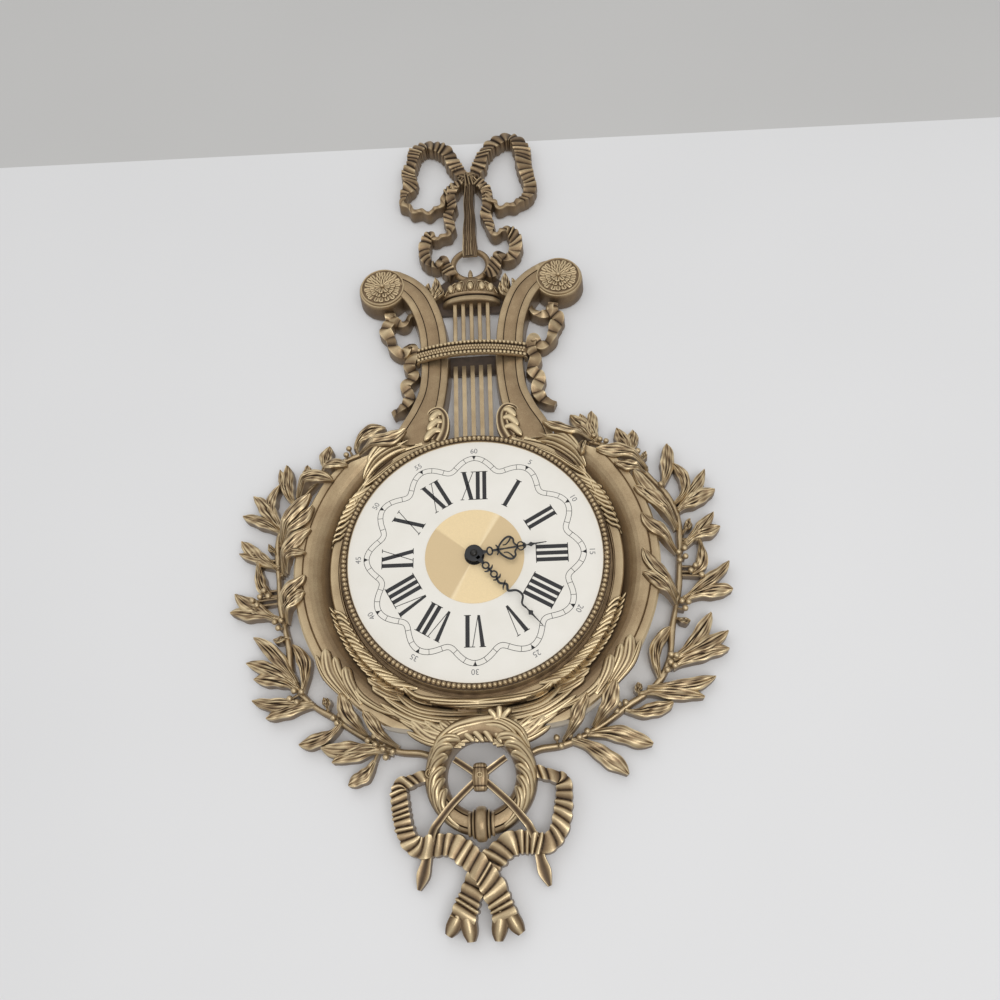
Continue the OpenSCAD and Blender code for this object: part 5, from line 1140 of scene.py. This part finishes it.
def numeral(relief, letters, degrees):
    look = printLook
    foot, head, thick, thin = look["foot"], look["head"], look["thick"], look["thin"]
    spans = [look["step"] if letter == "I" else look["wide"] for letter in letters]
    left = -sum(spans) / 2
    for letter, span in zip(letters, spans):
        right = left + span
        a, b, mid = left + 0.9, right - 0.9, left + span / 2
        heads = [(head, left, a + thick + 0.9), (head, b - 2.2, right)]
        strokes, serifs = {  # strokes from the foot to the head, and the short lines that close them
            "I": ([(mid - thick / 2, mid + thick / 2) * 2], [(foot, left, right), (head, left, right)]),
            "V": ([(mid - 1.2, mid + 0.8, a, a + thick), (mid, mid + thin, b - thin, b)], heads),
            "X": ([(b - thick, b, a, a + thick), (a, a + thin, b - thin, b)],
            heads + [(foot, left, a + 2.2), (foot, b - thick - 0.9, right)]),
        }[letter]
        for low, lowEnd, high, highEnd in strokes:
            ink(relief, degrees, (low, foot), (lowEnd, foot), (highEnd, head), (high, head))
        for out, start, end in serifs:
            ink(relief, degrees, (start, out - thin / 2), (end, out - thin / 2), (end, out + thin / 2), (start, out + thin / 2))
        left += span


def trackAt(degrees, inward=0.0):  # round lobes at the hours, pinched between them
    look = printLook

    def point(turn):
        c, e = math.cos(math.radians(6 * turn)), look["pinch"]
        lobe = (math.sqrt(c * c + e * e) - e) / (math.sqrt(1 + e * e) - e)
        return Vector(onDial(0, lerp(look["trackLow"], look["trackHigh"], lobe), turn))

    at = point(degrees)
    along = (point(degrees + 0.1) - point(degrees - 0.1)).normalized()
    return at + Vector((-along.y, along.x)) * -inward


def minuteTrack(relief):
    look = printLook
    for inward in (0, look["gap"]):
        rows = []
        for k in range(720):
            edges = [trackAt(k / 2, inward - look["line"] / 2), trackAt(k / 2, inward + look["line"] / 2)]
            rows.append([(*edges[0], look["low"], 0.5), (*edges[0], look["high"], 0.5), (*edges[1], look["high"], 0.5),
                (*edges[1], look["low"], 0.5)])
        relief.grid(rows, ring=True)
    for minute in range(60):
        outer, inner = trackAt(6 * minute), trackAt(6 * minute, look["gap"])
        side = (outer - inner).orthogonal().normalized()
        half = side * look["line"] * 0.45
        relief.prism([tuple(p) for p in (inner - half, inner + half, outer + half, outer - half)], look["low"], look["high"])
        if minute % 5 == 0:
            wide = side * look["mark"]
            relief.prism([tuple(p) for p in (lerp(outer, inner, 0.8), outer + wide, outer - wide)], look["low"], look["high"])


def minuteFigures(relief):
    for k in range(1, 13):
        words = bpy.data.curves.new("figure", "FONT")
        words.body = str(5 * k)
        words.size = printLook["figureSize"]
        words.extrude = printLook["figureHalf"]
        words.resolution_u = 4
        words.align_x = "CENTER"
        words.align_y = "CENTER"
        holder = bpy.data.objects.new("figure", words)
        shape = bpy.data.meshes.new_from_object(holder)
        first = len(relief.points)
        for vertex in shape.vertices:
            x, y = onDial(vertex.co.x, printLook["figureAt"] + vertex.co.y, 30 * k)
            relief.add(x, y, printLook["figureMid"] + vertex.co.z, 0.5)
        relief.faces += [tuple(first + corner for corner in face.vertices) for face in shape.polygons]
        bpy.data.objects.remove(holder)
        bpy.data.curves.remove(words)
        bpy.data.meshes.remove(shape)


dialInk = plainFinish("dialInk", (0.016, 0.016, 0.018), 0.55, 0, 900, 0.2)
greyInk = plainFinish("greyInk", (0.17, 0.17, 0.175), 0.55, 0, 900, 0.2)
printing = Relief()
for k, letters in enumerate(hours):
    numeral(printing, letters, 30 * (k + 1))
minuteTrack(printing)
printing.build("dialPrint", dialInk)
printing = Relief()
minuteFigures(printing)
printing.build("minuteFigures", greyInk)
print("dial printed")

# hands, drawn pointing up and turned clockwise to their place, rows are [across, out, width]
handLook = {"thick": 0.6, "hour": (34.3, 83.0, 6.5), "minute": (35.9, 140.0, 7.0)}


def oval(out, wide, tall, width):
    return [[wide * math.sin(math.pi * k / 8), out - tall * math.cos(math.pi * k / 8), width] for k in range(17)]


def barbs(out, reach):
    return [[-reach, out - 1.2, 0.7], [-reach / 2, out + 0.2, 1.5], [0, out, 2.0], [reach / 2, out + 0.2, 1.5],
        [reach, out - 1.2, 0.7]]


def bothSides(*strokes):
    return [rows for stroke in strokes for rows in (stroke, flipped(stroke))]


hourStrokes = [[[0, 4, 5], [0, 8, 3.2], [0, 10.4, 1.8]], oval(12.6, 3.2, 2.2, 1.3), [[0, 14.6, 1.8], [0, 19, 2]], barbs(19, 4.4),
    [[0, 19, 1.8], [0, 24, 1.2], [0, 30, 1.5], [0, 36, 1.3]],
    [[0, 36, 1.3], [0, 43, 1.0], [0, 45.5, 3.6], [0, 48.5, 1.4], [0, 58, 0.5]], barbs(40.5, 2.6)]
hourStrokes += bothSides([[0.5, 19.5, 1.3], [4, 21.2, 1.5], [8.2, 25.6, 1.6], [9.4, 29.4, 1.7], [7, 32.2, 1.6], [3.6, 32.4, 1.4],
    [0.4, 35, 1.4]], [[8.6, 30.6, 1.4], [5.6, 28.6, 1.2], [3.4, 26, 1.0], [3.2, 23.4, 0.8]],
    [[0, 34.6, 1.0], [2.8, 35.8, 1.0], [3.4, 38, 1.0], [1.8, 39.8, 1.0], [0, 39, 1.0]])
minuteStrokes = [[[0, 4, 5.4], [0, 9, 3.4], [0, 12, 2]], oval(14.2, 2.5, 2.6, 1.3), [[0, 16.6, 1.8], [0, 21.6, 1.8]],
    barbs(18.6, 4.2), oval(24, 2.4, 2.6, 1.3), barbs(28.4, 3.8),
    [[0, 26.4, 1.8], [1.7, 32, 1.8], [-1.6, 37, 2.0], [0.8, 41.5, 1.9], [-4.0, 46, 1.7], [-4.7, 52, 1.6], [0, 56.5, 1.5],
    [0, 61, 1.3]], [[0, 60, 1.2], [0, 64, 1.2], [0, 66.5, 4.2], [0, 69, 1.4], [0, 80, 0.5]],
    [[-3.2, 33.5, 0.6], [-1.4, 35, 1.3], [1.4, 36.5, 1.3], [3.4, 38.4, 0.6]]]


def hand(name, strokes):
    low, degrees, hub = handLook[name]
    thick = handLook["thick"]
    turn = math.radians(degrees)
    relief = Relief()
    for rows in strokes:
        path = [[x * math.cos(turn) + y * math.sin(turn), y * math.cos(turn) - x * math.sin(turn), w] for x, y,
            w in smoothRows(rows, 8)]

        def section(i):
            w = path[i][2]
            return mirrored([(w / 2, low, 0.3), (w / 2, low + 0.7 * thick, 0.4), (w * 0.32, low + thick, 0.6)])

        sweep(relief, path, section)
    revolve(relief, (0, 0), [(2.7, low, 0.3), (hub, low, 0.3), (hub, low + 0.7 * thick, 0.4), (hub - 0.5, low + thick, 0.6),
        (2.7, low + thick, 0.5)], around=48)
    relief.build(name + "Hand", blackPaint, name + "_hand", name)


hand("hour", hourStrokes)
hand("minute", minuteStrokes)
print("hands made")

# stage: white board that the clock lies on and a grey wall beyond its edge, both seen only from the front
stageLook = {"board": (0.745, 0.745, 0.75), "wall": (0.555, 0.55, 0.54), "light": 0.605, "near": (0.05, 0.06),
    "aim": (0, 0, -0.25), "lamps": {"key": ((-0.6, -1.9, 0.45), 2.2, 7.8),
    "fill": ((0.5, -1.7, -0.9), 1.2, 10.8)}}  # place, size, power


def backdrop(name, colour, corners):
    f = Finish(name, Roughness=0.7)
    mottle = f.grain(3, 2)
    f.set(Base_Color=f.mix(mottle.spread(0.3, 0.7), colour, tuple(c * 1.03 for c in colour)))
    behind = f.node("ShaderNodeNewGeometry", output="Backfacing")
    near = f.node("ShaderNodeLightPath", output="Ray Length").spread(*stageLook["near"], 1,
        0)  # lets light reach the clock's back
    front, clear = Wire(f, f.shader.outputs[0]), f.node("ShaderNodeBsdfTransparent")
    through = f.node("ShaderNodeMixShader", {}, {0: 1 - (1 - behind) * (1 - near), 1: front, 2: clear})
    f.feed(f.tree.nodes["Material Output"].inputs[0], through)
    mesh = bpy.data.meshes.new(name)
    mesh.from_pydata(corners, [], [(0, 1, 2, 3)])
    mesh.materials.append(f.material)
    sheet = bpy.data.objects.new(name, mesh)
    bpy.context.collection.objects.link(sheet)


backdrop("board", stageLook["board"], [(-3, 0.001, -3), (3, 0.001, -3), (3, 0.001, 0.109), (-3, 0.001, 0.292)])
backdrop("wall", stageLook["wall"], [(-3, 0.02, -0.2), (3, 0.02, -0.2), (3, 0.02, 3), (-3, 0.02, 3)])

world = bpy.data.worlds.new("studio")
bpy.context.scene.world = world
world.use_nodes = True
sky = world.node_tree.nodes["Background"]
sky.inputs[0].default_value = (1, 1, 1, 1)
sky.inputs[1].default_value = stageLook["light"]


def softLamp(name, place, size, power):
    lamp = bpy.data.lights.new(name, "AREA")
    lamp.size = size
    lamp.energy = power
    holder = bpy.data.objects.new(name, lamp)
    holder.location = place
    holder.rotation_euler = (Vector(stageLook["aim"]) - Vector(place)).to_track_quat("-Z", "Y").to_euler()
    bpy.context.collection.objects.link(holder)


for name, row in stageLook["lamps"].items():
    softLamp(name, *row)
print("stage made")

# camera, as the photograph was taken
cameraLook = {"place": (0.0562, -0.6964, -0.5227), "right": (0.9974, 0.0655, -0.0307), "up": (0.0549, -0.4097, 0.9106),
    "back": (0.0471, -0.9099, -0.4122), "lens": 0.9, "sensor": 36}
lens = bpy.data.cameras.new("camera")
lens.sensor_width = cameraLook["sensor"]
lens.lens = cameraLook["sensor"] * cameraLook["lens"]
lens.clip_start = 0.01
camera = bpy.data.objects.new("camera", lens)
camera.matrix_world = Matrix((cameraLook["right"], cameraLook["up"], cameraLook["back"])).transposed().to_4x4()
camera.location = cameraLook["place"]
bpy.context.collection.objects.link(camera)
bpy.context.scene.camera = camera
bpy.context.scene.view_settings.view_transform = "Standard"
